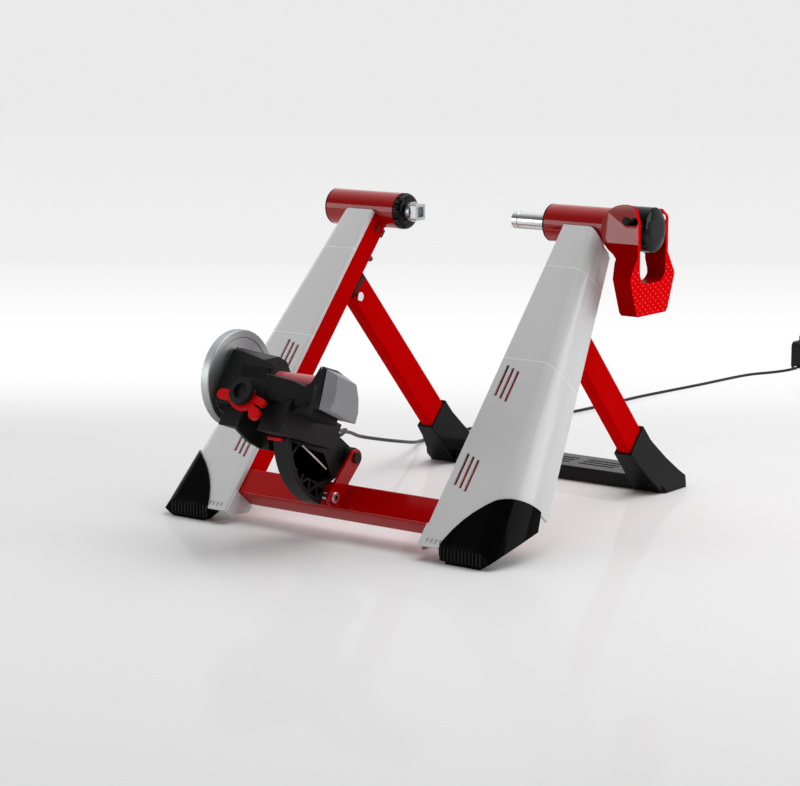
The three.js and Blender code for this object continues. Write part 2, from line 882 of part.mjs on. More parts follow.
// Right head: tube, bush, plunger, spring, cam block, lever pin and clamp lever

put(head, 'right_head_tube',
  sleeve(headBore, headRadius, rightHeadInner, rightHeadOuter, roundFine), redPaint);
put(head, 'plunger_bush', turned([
  [plungerRadius + gap, rightHeadInner - bushRim], [headRadius, rightHeadInner - bushRim],
  [headRadius, rightHeadInner - gap], [headBore - gap, rightHeadInner - gap],
  [headBore - gap, rightHeadInner + bushLength], [plungerRadius + gap, rightHeadInner + bushLength],
  [plungerRadius + gap, rightHeadInner - bushRim]], roundFine), blackGloss);
const plungerNeck = plungerRadius - edgeCut;
put(head, 'clamp_plunger', turned([
  [0, plungerTip + plungerRecess], [plungerRecessRadius, plungerTip], [plungerNeck, plungerTip],
  [plungerRadius, plungerTip + edgeCut], [plungerRadius, plungerTip + plungerGroove],
  [plungerNeck, plungerTip + plungerGroove], [plungerNeck, plungerTip + plungerGroove + grooveRing],
  [plungerRadius, plungerTip + plungerGroove + grooveRing], [plungerRadius, plungerShoulder],
  [plungerRod, plungerShoulder], [plungerRod, plungerTail], [0, plungerTail]]), chrome);

// Return spring round the plunger's rod
class Coil extends THREE.Curve {
  getPoint(t, target = new THREE.Vector3()) {
    const angle = t * springTurns * Math.PI * 2;
    return target.set(springStart + t * (springEnd - springStart), springRadius * Math.cos(angle),
      springRadius * Math.sin(angle));
  }
}
const wireSection = new THREE.Shape();
wireSection.absarc(0, 0, springWire, 0, Math.PI * 2);
put(head, 'plunger_spring', new THREE.ExtrudeGeometry(wireSection, {
  steps: springTurns * springSteps, bevelEnabled: false, extrudePath: new Coil(), curveSegments: 3 }), steel);

function pinRound(radius, reach) {
  const circle = new THREE.Shape();
  circle.absarc(leverPivotX, leverPivotUp, radius, 0, Math.PI * 2);
  return alongY(circle, -reach, reach, roundSmall);
}

const camShape = turned([
  [0, camStart], [camRadius, camStart], [camRadius, camEnd],
  [camRadius - camDome / 2, camEnd + camDome / 2], [camRadius / 2, camEnd + camDome],
  [0, camEnd + camDome]], roundFine).scale(1, 1, camTallShare);
put(head, 'cam_block', cut(solid(camShape), rod(camBore, camStart - overrun, camBoreEnd),
  pinRound(leverPinRadius + gap, wide)), blackGloss);
put(head, 'lever_pin', pinRound(leverPinRadius, leverEarOuter + leverPinProud), blackPlastic);

// The lever is the common part of its side outline and its face outline, with a U cut for the cam block
function leverSide() {
  const up = axleHeight;
  const s = new THREE.Shape();
  s.moveTo(leverFace, leverFootAt - up);
  s.lineTo(leverFace, leverPivotUp);
  s.lineTo(leverEarX + leverEarRadius / 2, leverEarRadius - leverCorner);
  s.absarc(leverEarX, 0, leverEarRadius, Math.PI / 3, (Math.PI * 4) / 3);
  s.lineTo(leverNeck - leverCorner, leverShoulder - up);
  s.lineTo(leverNeck - leverCorner, leverShoulder - up - leverCorner);
  s.lineTo(leverNeck, leverWideAt - up);
  s.lineTo(leverNeck, leverFootAt - up);
  s.lineTo(leverFace, leverFootAt - up);
  return s;
}

function leverFront() {
  const up = axleHeight;
  const rise = leverEarRadius + overrun;
  return outline([
    [-leverFootHalf + leverCorner, leverFootAt - up], [leverFootHalf - leverCorner, leverFootAt - up],
    [leverFootHalf, leverFootAt - up + leverCorner], [leverWide, leverWideAt - up],
    [leverEarOuter, leverShoulder - up + leverCorner], [leverEarOuter, rise], [-leverEarOuter, rise],
    [-leverEarOuter, leverShoulder - up + leverCorner], [-leverWide, leverWideAt - up],
    [-leverFootHalf, leverFootAt - up + leverCorner]]);
}

function leverMouth() {
  const centre = leverSlotFoot - axleHeight + leverSlotCorner;
  const side = leverSlotHalf - leverSlotCorner;
  const s = new THREE.Shape();
  s.moveTo(leverSlotHalf, wide);
  s.lineTo(-leverSlotHalf, wide);
  s.lineTo(-leverSlotHalf, centre);
  s.absarc(-side, centre, leverSlotCorner, Math.PI, Math.PI * 1.5);
  s.absarc(side, centre, leverSlotCorner, Math.PI * 1.5, Math.PI * 2);
  s.lineTo(leverSlotHalf, wide);
  return s;
}

function pinSlot() {
  const r = leverPinRadius + gap;
  const s = new THREE.Shape();
  s.absarc(leverPivotX, leverPivotUp, r, Math.PI / 2, Math.PI * 1.5);
  s.absarc(leverPivotX + leverPinSlot, leverPivotUp, r, -Math.PI / 2, Math.PI / 2);
  return s;
}

function farEarCut() {
  const above = leverEarRadius + overrun;
  const beyond = leverFace + overrun;
  return alongY(outline([
    [leverEarX - above, farEarTop[0]], [farEarFrom, farEarTop[0]], [beyond, farEarTop[1]],
    [beyond, above], [leverEarX - above, above]]), 0, leverWide);
}

const leverBody = solid(alongY(leverSide(), -leverWide, leverWide, roundSmall))
  .intersect(solid(alongX(leverFront(), 0, leverFace + overrun)));
put(head, 'clamp_lever', cut(leverBody, farEarCut(),
  alongX(leverMouth(), 0, leverFace + overrun, roundSmall),
  alongY(pinSlot(), -wide, wide, roundSmall / 2)), redPaint);

// Folding rear legs

const rearTopSide = rearDepth - rearUnder;
const rearOuter = rearInner + rearWidth;
const sweptCorner = new THREE.Shape();
sweptCorner.moveTo(-rearUnder, 0);
sweptCorner.lineTo(-rearUnder - overrun, 0);
sweptCorner.lineTo(-rearUnder - overrun, rearUnder + overrun);
sweptCorner.lineTo(0, rearUnder + overrun);
sweptCorner.lineTo(0, rearUnder);
sweptCorner.absarc(0, 0, rearUnder, Math.PI / 2, Math.PI);

function rearLeg() {
  const section = hollow(
    roundedBox(rearInner, -rearUnder, rearOuter, rearTopSide, rearCorner),
    roundedBox(rearInner + rearWall, -rearUnder + rearWall, rearOuter - rearWall, rearTopSide - rearWall,
      rearCorner - rearWall));
  return cut(solid(alongZ(section, -rearLength, rearTop)),
    alongX(sweptCorner, 0, wide, curveSteps), rod(boltRadius + gap, 0, wide, roundSmall));
}

function rearCap() {
  const flat = alongZ(roundedBox(rearInner, -rearUnder, rearOuter, rearTopSide, rearCorner),
    rearTop + gap, rearTop + capRise);
  const beside = intoFrame(outOfFrame(block(0, wide, -wide, legFront + gap, -wide, wide), legs), rear);
  return cut(solid(flat), alongX(sweptCorner, 0, wide, curveSteps), beside);
}

const rearLegShape = surface(rearLeg());
const rearCapShape = surface(rearCap());
const boltShape = surface(join(
  turned([
    [0, rearInner - boltHeadHeight], [boltHead, rearInner - boltHeadHeight], [boltHead, rearInner - gap],
    [boltRadius, rearInner - gap], [boltRadius, rearOuter + lugThick + boltHeadHeight],
    [0, rearOuter + lugThick + boltHeadHeight]], boltSides * 2)));

// Rear foot: a rubbery boot that takes the leg's end and the end of the bar

function rearBoot() {
  const toe = bootToe[0][0];
  const top = bootTop + overrun;
  const side = outline([...bootHeel, [bootBack, 0], [bootFront, 0], ...bootToe]);
  const boot = solid(alongX(side, bootInner, bootOuter));
  const plan = outline([
    [bootInner, 0], [bootOuter - bootCorner, 0], [bootOuter - bootCorner, bootBack],
    [bootOuter, bootBack + bootCorner], [bootOuter, bootFront - lugRadius], [bootOuter - lugRadius, toe],
    [bootInner, toe]]);
  const upper = outline([
    [bootInner, -overrun], [bootOuter, -overrun], ...bootFlank, [bootLipOuter, top], [bootLipInner, top]]);
  const socket = outOfFrame(block(rearInner - gap, rearOuter + gap, -rearUnder - gap, rearTopSide + gap,
    -rearLength - gap, 0), rear);
  const coreHole = block(bootInner - overrun, bootInner + coreReach, coreMiddle - coreWidth / 2 - gap,
    coreMiddle + coreWidth / 2 + gap, coreBase - gap, coreBase + coreHeight + gap);
  const shaped = boot.intersect(solid(alongZ(plan, -overrun, top)))
    .intersect(solid(alongY(upper, 0, toe + overrun)));
  return cut(shaped, socket, coreHole);
}

const coreMiddle = (barBack + barFront) / 2;
const coreBase = (barHeight - barWall - coreHeight) / 2 + barFloorGap / 2;
const bootShape = surface(rearBoot());
for (const [word, side] of sides) {
  put(rear, `${word}_rear_leg`, forSide(rearLegShape, side), redPaint);
  put(rear, `${word}_rear_leg_cap`, forSide(rearCapShape, side), blackPlastic);
  put(rear, `${word}_hinge_bolt`, forSide(boltShape, side), chrome);
  put(trainer, `${word}_rear_foot`, forSide(bootShape, side), blackRubber);
}

// Flat steel tube between the rear feet, and the slotted cover over it
const coreBack = coreMiddle - coreWidth / 2;
const coreFront = coreMiddle + coreWidth / 2;
const coreTop = coreBase + coreHeight;
const coreEnd = bootInner + coreReach - gap;
const coreShape = hollow(
  roundedBox(coreBack, coreBase, coreFront, coreTop, coreWall),
  roundedBox(
    coreBack + coreWall, coreBase + coreWall, coreFront - coreWall, coreTop - coreWall, coreWall / 2));
put(trainer, 'rear_cross_tube', alongX(coreShape, -coreEnd, coreEnd), steel);

function barCover() {
  const ends = bootInner - gap;
  const shell = solid(alongX(roundedBox(barBack, barFloorGap, barFront, barHeight + barFloorGap, barWall),
    -ends, ends));
  const inside = block(-ends - overrun, ends + overrun, barBack + barWall, barFront - barWall, 0,
    barHeight - barWall + barFloorGap);
  const slots = [];
  for (const centre of [-barSlotSet, 0, barSlotSet]) {
    for (let i = 0; i < barSlotCount; i += 1) {
      const y = coreMiddle + (i - (barSlotCount - 1) / 2) * barSlotPitch;
      slots.push(block(centre - barSlotLength / 2, centre + barSlotLength / 2, y - barSlotWidth / 2,
        y + barSlotWidth / 2, barHeight - barWall, barHeight + 2 * barFloorGap));
    }
  }
  return cut(shell, inside, ...slots);
}
put(trainer, 'rear_bar_cover', barCover(), blackPlastic);

// Bracket on the cross tube, its pin and its clamp bolt

const legFrame = legs.matrix.clone().invert();
const swingInLeg = new THREE.Vector3(0, swingY, swingZ).applyMatrix4(legFrame);

function capsule(y0, z0, y1, z1, r) {
  const angle = Math.atan2(z1 - z0, y1 - y0);
  const s = new THREE.Shape();
  s.absarc(y1, z1, r, angle - Math.PI / 2, angle + Math.PI / 2);
  s.absarc(y0, z0, r, angle + Math.PI / 2, angle + Math.PI * 1.5);
  return s;
}

function bracket() {
  const clamp = [-clampOut, -clampDown];
  const ear = capsule(swingInLeg.y, swingInLeg.z, ...clamp, earRadius);
  const foot = crossBack - gap;
  const lowEnd = -crossTop - crossWidth + crossCorner;
  const highEnd = -crossTop - crossCorner;
  const skirt = outline([
    [-clampOut, lowEnd - crossCorner], [foot, lowEnd], [foot, highEnd], [-clampOut, highEnd]]);
  let body = solid(block(bracketLeft, bracketRight, foot - bracketPlate, foot, lowEnd, highEnd));
  for (const x of [bracketLeft, bracketRight - bracketPlate]) {
    body = body.add(solid(alongX(ear, x, x + bracketPlate, roundSmall / 2)))
      .add(solid(alongX(skirt, x, x + bracketPlate)));
  }
  const pinHole = rod(swingPinRadius + gap, bracketLeft - overrun, bracketRight + overrun, roundSmall)
    .translate(0, swingInLeg.y, swingInLeg.z);
  const boltHole = rod(clampRadius + gap, bracketLeft - overrun, bracketRight + overrun, roundSmall)
    .translate(0, ...clamp);
  return cut(body, pinHole, boltHole);
}
put(legs, 'unit_bracket', bracket(), redPaint);

function headedPin(radius, headSize, headHeight, x0, x1, segments) {
  return turned([[0, x0], [headSize, x0], [headSize, x0 + headHeight - gap], [radius, x0 + headHeight - gap],
    [radius, x1 + gap], [headSize, x1 + gap], [headSize, x1 + headHeight], [0, x1 + headHeight]], segments);
}

put(trainer, 'swing_pin', headedPin(swingPinRadius, swingPinHead, swingPinHeadHeight,
  bracketLeft - swingPinHeadHeight, bracketRight, roundSmall).translate(0, swingY, swingZ), blackPlastic);
put(legs, 'bracket_bolt', headedPin(clampRadius, clampHead, clampHeadHeight, bracketLeft - clampHeadHeight,
  bracketRight, roundSmall).translate(0, -clampOut, -clampDown), chrome);

// Lower body of the unit: two arms with a slot between them, a guard behind the roller and the
// right bearing wall

function skewed(geometry) {
  return geometry.rotateZ(degrees(beamSkew)).translate(beamLeft, beamBack, 0);
}

function bearingWall() {
  const s = new THREE.Shape();
  s.moveTo(webPoints[0][0], webPoints[0][1]);
  s.absarc(rollerY, rollerZ, wallRadius, Math.PI, 0, true);
  s.lineTo(webPoints[1][0], webPoints[1][1]);
  s.lineTo(webPoints[2][0], webPoints[2][1]);
  s.lineTo(webPoints[3][0], webPoints[3][1]);
  return s;
}

function aroundRoller(geometry) {
  return geometry.translate(0, rollerY, rollerZ);
}

const sideBlank = alongX(outline(sidePoints), sideLeft - gap, panelRight + gap);
function unitBody() {
  const guard = outline([[0, beamLowLeft], [beamFoot, beamLowRight], [beamLength, beamTopRight],
    [beamLength, hornTop], [hornKnee, hornKneeTop], [hornFrom, (beamTopRight + hornKneeTop) / 2],
    [beamLength / 2, (beamTopLeft + beamTopRight) / 2 + beamThick / 2], [0, beamTopLeft]]);
  const body = join(
    alongX(outline([armTopBack, armTopFront, armLowFront, armLowBack]), armLeft, armRight),
    alongX(outline(bellyPoints), bellyLeft, bellyRight),
    alongX(outline(webPoints), armRight - overrun, wallRight),
    alongX(bearingWall(), wallLeft, wallRight, roundSmall),
    skewed(alongY(guard, 0, beamThick)));
  const spread = (gap * 2) / (panelHigh[1] - panelLow[1]);
  const grown = sideBlank.clone().translate(0, -rollerY, -rollerZ).scale(1, 1 + spread, 1 + spread)
    .translate(0, rollerY, rollerZ);
  const rear = armLowBack[0] - overrun;
  return cut(body,
    grown,
    block(armSlotLeft, armSlotRight, rear, armLowBack[0] + armSlotDepth, 0, axleHeight),
    block(armLeft - overrun, armSlotLeft + overrun, rear, rollerY, armLeftTop, axleHeight),
    aroundRoller(rod(rollerRadius + rollerPlay, sideRight, wallLeft - gap, roundMid)),
    aroundRoller(rod(shaftRadius + rollerPlay, sideRight, wallRight + overrun, roundMid)),
    aroundRoller(rod(bearingRadius + gap / 2, wallLeft - overrun, wallRight - bearingLip, roundMid)));
}

// Swing arm: a ribbed quadrant under the body that turns on the pin

const quadrantFrom = degrees(quadrantStart);
const quadrantTo = degrees(quadrantEnd);
const trussOuter = quadrantRadius - quadrantRim;
const trussInner = trussOuter - quadrantTruss;
const pocketRadius = trussInner - quadrantRib;

function onQuadrant(radius, angle) {
  return [quadrantY + radius * Math.cos(angle), quadrantZ + radius * Math.sin(angle)];
}

// A three-cornered cell of the truss, drawn in from its neighbours by half a rib
function trussCell(corners) {
  const y = (corners[0][0] + corners[1][0] + corners[2][0]) / 3;
  const z = (corners[0][1] + corners[1][1] + corners[2][1]) / 3;
  return outline(corners.map(([py, pz]) => {
    const reach = Math.hypot(py - y, pz - z);
    return [py - (quadrantRib * (py - y)) / reach, pz - (quadrantRib * (pz - z)) / reach];
  }));
}

function quadrantCells() {
  const step = (quadrantTo - quadrantFrom) / (quadrantBays + 1 / 2);
  const cells = [];
  for (let i = 0; i < quadrantBays; i += 1) {
    const from = quadrantFrom + i * step;
    cells.push(trussCell([onQuadrant(trussOuter, from), onQuadrant(trussOuter, from + step),
      onQuadrant(trussInner, from + step / 2)]));
    cells.push(trussCell([onQuadrant(trussInner, from + step / 2), onQuadrant(trussOuter, from + step),
      onQuadrant(trussInner, from + step * 3 / 2)]));
  }
  const pocket = new THREE.Shape();
  pocket.absarc(quadrantY, quadrantZ, pocketRadius, degrees(pocketFrom), degrees(pocketTo), false);
  pocket.lineTo(...pocketLow);
  pocket.lineTo(...pocketHigh);
  cells.push(pocket);
  return cells;
}

function swingArm() {
  const s = new THREE.Shape();
  s.moveTo(...linkAt);
  s.absarc(swingY, swingZ, hubRadius, hubTurn, -hubTurn, true);
  s.lineTo(...onQuadrant(pocketRadius, quadrantTo));
  s.absarc(quadrantY, quadrantZ, quadrantRadius, quadrantTo, quadrantFrom, true);
  s.lineTo(...armTopBack);
  s.lineTo(...armTopFront);
  s.lineTo(...linkAt);
  const hub = rod(hubRadius, bracketLeft + bracketPlate + gap, bracketRight - bracketPlate - gap)
    .translate(0, swingY, swingZ);
  let arm = join(alongX(s, quadrantLeft, quadrantRight, roundMid), hub);
  const depth = (quadrantRight - quadrantLeft - quadrantWeb) / 2;
  for (const cell of quadrantCells()) {
    for (const x of [quadrantLeft - overrun, quadrantRight - depth]) {
      arm = cut(arm, alongX(cell, x, x + depth + overrun, curveSteps));
    }
  }
  const frontRun = armTopFront[0] - armLowFront[0];
  const frontRise = armTopFront[1] - armLowFront[1];
  const seat = outline([
    [armTopBack[0] - overrun, armTopBack[1] + frontRise],
    [armTopFront[0] + frontRun + 2 * gap, armTopFront[1] + frontRise],
    [armLowFront[0] + gap, armLowFront[1] - gap], [armLowBack[0] - overrun, armLowBack[1] - gap]]);
  return cut(arm,
    alongX(seat, quadrantLeft - overrun, quadrantRight + overrun),
    rod(swingPinRadius + gap, bracketLeft, bracketRight + overrun, roundSmall).translate(0, swingY, swingZ),
    ...wireRods(rodRadius + gap));
}

// Bent wire that crosses the open middle of the quadrant
function wireRods(radius) {
  return [rodAt - rodSpread, rodAt + rodSpread].map((x) => strut([x, ...rodHigh], [x, ...rodLow], radius));
}
const wireBend = strut([rodAt - rodSpread, ...rodLow], [rodAt + rodSpread, ...rodLow], rodRadius);

put(trainer, 'unit_body', unitBody(), blackPlastic);
const bendHole = strut([rodAt - rodSpread - rodRadius, ...rodLow], [rodAt + rodSpread + rodRadius, ...rodLow],
  rodRadius + gap);
put(trainer, 'swing_arm', cut(swingArm(), bendHole), blackPlastic);
put(trainer, 'wire_link', join(...wireRods(rodRadius), wireBend), chrome);

// Red stop on the top of the quadrant's rim
const stopBack = quadrantY - Math.sqrt(quadrantRadius ** 2 - (quadrantZ - stopDown) ** 2) - gap;
put(trainer, 'swing_stop',
  block(stopLeft, stopRight, stopBack - stopDepth, stopBack, stopDown - stopHeight, stopDown),
  redPlastic);

// Left side block with the sloping panel that carries the knob

const panel = new THREE.Group();
panel.position.set(knobX, ...panelLow);
const panelRise = panelHigh[1] - panelLow[1];
const panelRun = panelHigh[0] - panelLow[0];
const panelLength = Math.hypot(panelRise, panelRun);
panel.position.y += (panelRun * (panelLength - knobDown)) / panelLength;
panel.position.z += (panelRise * (panelLength - knobDown)) / panelLength;
panel.rotation.x = Math.PI / 2 - Math.atan2(panelRun, panelRise);
trainer.add(panel);
trainer.updateMatrixWorld(true);

// In the panel's frame X is sideways, Y runs up the panel and Z points out of it
function sideBlock() {
  const rearBox = alongX(outline(sidePoints), sideLeft, panelRight);
  const front = block(
    sideRight, panelRight + overrun, rollerY - rollerRadius - panelDepth / 2, 0, 0, axleHeight);
  const crown = outline([[sideLeft - overrun, sideCrownLeft], [panelRight + overrun, sideCrownRight],
    [panelRight + overrun, axleHeight], [sideLeft - overrun, axleHeight]]);
  const body = cut(solid(rearBox), front,
    alongY(crown, -wide * 2, 0),
    aroundRoller(rod(shaftRadius + rollerPlay, sideLeft - overrun, sideRight + overrun)),
    aroundRoller(rod(bearingRadius + gap / 2, sideRight - bearingWidth - gap, sideRight + overrun)));
  const stud = alongZ(new THREE.Shape().absarc(0, 0, knobStud, 0, Math.PI * 2), -overrun, gap + leverThick,
    roundSmall);
  return body.add(solid(outOfFrame(stud, panel)));
}
const knobFoot = leverThick + gap * 2;
put(trainer, 'left_side_block', sideBlock(), blackPlastic);

put(panel, 'adjust_knob', cut(
  solid(alongZ(ribbedRing(knobRadius, knobRibDepth, knobRibs, 0), knobFoot, knobFoot + knobHeight)),
  alongZ(new THREE.Shape().absarc(0, 0, knobRecess, 0, Math.PI * 2), knobFoot + knobHeight - knobRecessDepth,
    knobFoot + knobHeight + overrun, roundSmall)), blackPlastic);

function quickLever() {
  const inner = knobStud + gap;
  const outer = knobRadius + leverRing;
  const collar = new THREE.Shape().absarc(0, 0, inner + leverCollar, 0, Math.PI * 2);
  const ring = new THREE.Shape();
  ring.absarc(0, 0, outer, degrees(leverFrom), degrees(leverTo), false);
  ring.absarc(0, 0, inner, degrees(leverTo), degrees(leverFrom), true);
  const tab = capsule(-outer + leverRing / 2, -leverRing, ...leverTab, leverTabWidth);
  const lobe = new THREE.Shape().absarc(...leverLobe, leverLobeRadius, 0, Math.PI * 2);
  const neck = capsule(leverLobe[0] * neckShare, leverLobe[1] * neckShare, ...leverLobe, leverClipRadius);
  const stem = capsule(leverClip[0] * neckShare, leverClip[1] * neckShare, ...leverClip, leverClipRadius);
  const clip = new THREE.Shape().absarc(...leverClip, leverClipRadius, 0, Math.PI * 2);
  const outlines = [ring, collar, tab, lobe, neck, stem, clip];
  const parts = outlines.map((shape) => alongZ(shape, gap, gap + leverThick,
    roundSmall / 2));
  return cut(join(...parts), alongZ(new THREE.Shape().absarc(0, 0, inner, 0, Math.PI * 2), gap - overrun,
    gap + 2 * leverThick, roundSmall));
}
put(panel, 'quick_lever', quickLever(), redPlastic);
put(panel, 'label_plate', alongZ(roundedBox(-labelWidth / 2, labelUp, labelWidth / 2, labelUp + labelHeight,
  labelThick), gap, labelThick + gap), blackPlastic);

// Roller, its shaft and bearings, and the flywheel

put(trainer, 'roller',
  aroundRoller(sleeve(shaftRadius + gap, rollerRadius, rollerLeft, rollerRight)), elastomer);
put(trainer, 'roller_shaft', aroundRoller(rod(shaftRadius, shaftLeft, shaftRight)), steel);
const wheelRim = flywheelRadius - flywheelRim;
const wheelBore = shaftRadius + gap;
const hubBack = flywheelLeft - hubProud;
const hubFront = flywheelRight + hubProud;
const wheelFace = flywheelRight - edgeCut;
put(trainer, 'flywheel', aroundRoller(turned([
  [wheelBore, hubBack], [flywheelHub, hubBack], [flywheelHub + edgeCut, flywheelLeft + flywheelDish],
  [wheelRim, flywheelLeft + flywheelDish], [wheelRim, flywheelLeft],
  [flywheelRadius - edgeCut, flywheelLeft], [flywheelRadius, flywheelLeft + edgeCut],
  [flywheelRadius, wheelFace], [flywheelRadius - edgeCut, flywheelRight],
  [wheelRim, flywheelRight], [wheelRim - edgeCut, wheelFace], [flywheelHub, wheelFace],
  [flywheelHub, hubFront], [wheelBore, hubFront], [wheelBore, hubBack],
], roundFine)), chrome);
function bearing(x0) {
  const end = x0 + bearingWidth - edgeCut;
  const outer = sleeve(shaftRadius + gap, bearingRadius, x0, end);
  const groove = sleeve(shaftRadius + bearingRace - bearingLip, bearingRadius - bearingLip, end - edgeCut,
    end + overrun);
  return aroundRoller(surface(cut(solid(outer), groove)));
}
put(trainer, 'left_bearing', bearing(sideRight - bearingWidth), steel);
put(trainer, 'right_bearing', bearing(wallRight - edgeCut - bearingWidth - gap), steel);

// Magnet brake on the shaft's right end

// The case's outline at a place along X, drawn in from its corners by an inset
function caseOutline(x, inset) {
  const share = (x - caseLeft) / (caseRight - caseLeft);
  const corners = caseNear.map(([y, z], i) => [
    y + (caseFar[i][0] - y) * share, z + (caseFar[i][1] - z) * share]);
  const y = corners.reduce((sum, corner) => sum + corner[0], 0) / corners.length;
  const z = corners.reduce((sum, corner) => sum + corner[1], 0) / corners.length;
  return corners.map(([cornerY, cornerZ]) => {
    const reach = Math.hypot(cornerY - y, cornerZ - z);
    const keep = (reach - inset) / reach;
    return [y + (cornerY - y) * keep, z + (cornerZ - z) * keep];
  });
}

function caseLength(x0, x1, inset) {
  const from = caseOutline(x0, inset);
  const to = caseOutline(x1, inset);
  const g = alongX(outline(from), x0, x1);
  const p = g.attributes.position;
  for (let i = 0; i < p.count; i += 1) {
    if (Math.abs(p.getX(i) - x1) < Math.abs(p.getX(i) - x0)) {
      const away = ([y, z]) => Math.hypot(p.getY(i) - y, p.getZ(i) - z);
      const nearest = from.reduce((best, corner, k) => (away(corner) < away(from[best]) ? k : best), 0);
      p.setY(i, to[nearest][0]);
      p.setZ(i, to[nearest][1]);
    }
  }
  return g;
}

put(trainer, 'magnet_case_back', cut(
  solid(caseLength(caseLeft, caseSplit - gap, 0)),
  caseLength(caseLeft + caseWall - edgeCut, caseSplit, caseWall),
  aroundRoller(rod(shaftRadius + rollerPlay, caseLeft - overrun, caseSplit))), blackPlastic);
put(trainer, 'magnet_case_cover', cut(
  solid(caseLength(caseSplit, caseRight, 0)),
  caseLength(caseSplit - overrun, caseRight - caseWall, caseWall)), greyPlastic);
put(trainer, 'brake_rotor',
  aroundRoller(sleeve(shaftRadius + gap, rotorRadius, rotorLeft, rotorRight)), aluminium);
const magnets = [];
for (let i = 0; i < magnetCount; i += 1) {
  const angle = (i * Math.PI * 2) / magnetCount;
  const magnet = rod(magnetRadius, carrierLeft - magnetRise, carrierLeft + edgeCut, roundSmall);
  magnets.push(aroundRoller(
    magnet.translate(0, magnetRing * Math.cos(angle), magnetRing * Math.sin(angle))));
}
put(trainer, 'magnet_carrier', join(
  aroundRoller(sleeve(shaftRadius + carrierPlay, rotorRadius, carrierLeft, carrierRight)), ...magnets),
blackPlastic);

// Cable gland on the front of the lower body, the cable and the shifter at its end

const faceRun = armTopFront[0] - armLowFront[0];
const faceRise = armTopFront[1] - armLowFront[1];
const gland = new THREE.Group();
gland.position.set(glandX, ...glandAt);
gland.rotation.x = Math.atan2(-faceRun, faceRise);
trainer.add(gland);
trainer.updateMatrixWorld(true);

// In the gland's frame Y points out of the body's front face
function turnedY(points, segments) {
  return new THREE.LatheGeometry(points.map(([r, at]) => new THREE.Vector2(r, at)), segments);
}
const faceLevel = new THREE.Vector3(0, ...armTopFront).applyMatrix4(gland.matrix.clone().invert()).y + gap;
put(gland, 'cable_gland', turnedY([
  [0, faceLevel], [glandFlange, faceLevel], [glandFlange, faceLevel + glandFlangeThick],
  [glandRadius, faceLevel + glandFlangeThick], [glandRadius - edgeCut, faceLevel + glandLength],
  [0, faceLevel + glandLength]], roundSmall), blackRubber);

const outOfGland = (y) => new THREE.Vector3(0, faceLevel + y, 0).applyMatrix4(gland.matrix);
const shifterEntry = new THREE.Vector3(shifterX, shifterBack - ferruleLength, ferruleZ);
const cablePath = new THREE.CatmullRomCurve3([
  outOfGland(glandLength + gap), outOfGland(glandLength + glandFlange),
  ...cablePoints.map((point) => new THREE.Vector3(...point)),
  shifterEntry.clone().add(new THREE.Vector3(0, -ferruleLength, 0)),
  shifterEntry.clone().add(new THREE.Vector3(0, -gap, 0))], false, 'centripetal');
const cableSection = new THREE.Shape();
cableSection.absarc(0, 0, cableRadius, 0, Math.PI * 2);
put(trainer, 'control_cable', new THREE.ExtrudeGeometry(cableSection, {
  steps: cableSteps, bevelEnabled: false, extrudePath: cablePath, curveSegments: cableSides / 2,
}), blackRubber);
put(trainer, 'cable_ferrule', turnedY([
  [0, shifterEntry.y], [ferruleRadius, shifterEntry.y], [ferruleRadius, shifterBack - gap],
  [0, shifterBack - gap],
], roundSmall).translate(shifterX, 0, ferruleZ), chrome);

const shifterLeft = shifterX - shifterWidth / 2;
const shifterRight = shifterX + shifterWidth / 2;
const shifterFront = shifterBack + shifterLength;
function shifterBody() {
  const shape = roundedBox(shifterBack, 0, shifterFront, shifterHeight, shifterCorner);
  return cut(solid(alongX(shape, shifterLeft, shifterRight, curveSteps)),
    rod(barRadius + gap, shifterLeft - overrun, shifterRight + overrun, roundMid)
      .translate(0, shifterBarY, shifterBarZ),
    block(shifterLeft - overrun, shifterRight + overrun, shifterBarY - strapSplit, shifterBarY + strapSplit,
      -overrun, shifterBarZ));
}
put(trainer, 'shifter_body', shifterBody(), blackPlastic);
const dialTop = shifterHeight + gap + dialHeight;
const thumb = capsule(0, 0, thumbLength / Math.SQRT2, thumbLength / Math.SQRT2, thumbWidth / 2);
const dialY = (shifterBack + shifterFront) / 2;
const dial = new THREE.Shape();
dial.absarc(0, 0, dialRadius, 0, Math.PI * 2);
const thumbShape = alongZ(thumb, shifterHeight + gap, dialTop - edgeCut, roundSmall / 2);
const dialShape = alongZ(dial, shifterHeight + gap, dialTop, roundSmall);
put(trainer, 'shifter_lever', join(dialShape, thumbShape).translate(shifterX, dialY, 0), blackPlastic);

// The origin moves to the middle of the trainer's own length, without the cable and the shifter
const loose = ['control_cable', 'cable_ferrule', 'shifter_body', 'shifter_lever'];
const extent = new THREE.Box3();
trainer.traverse((part) => {
  if (part.isMesh && !loose.includes(part.name)) {
    extent.expandByObject(part, true);
  }
});
trainer.position.set(0, -(extent.min.y + extent.max.y) / 2, 0);
const model = new THREE.Group();
model.add(trainer);

export default model;
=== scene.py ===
from math import cos, pi, radians, sin

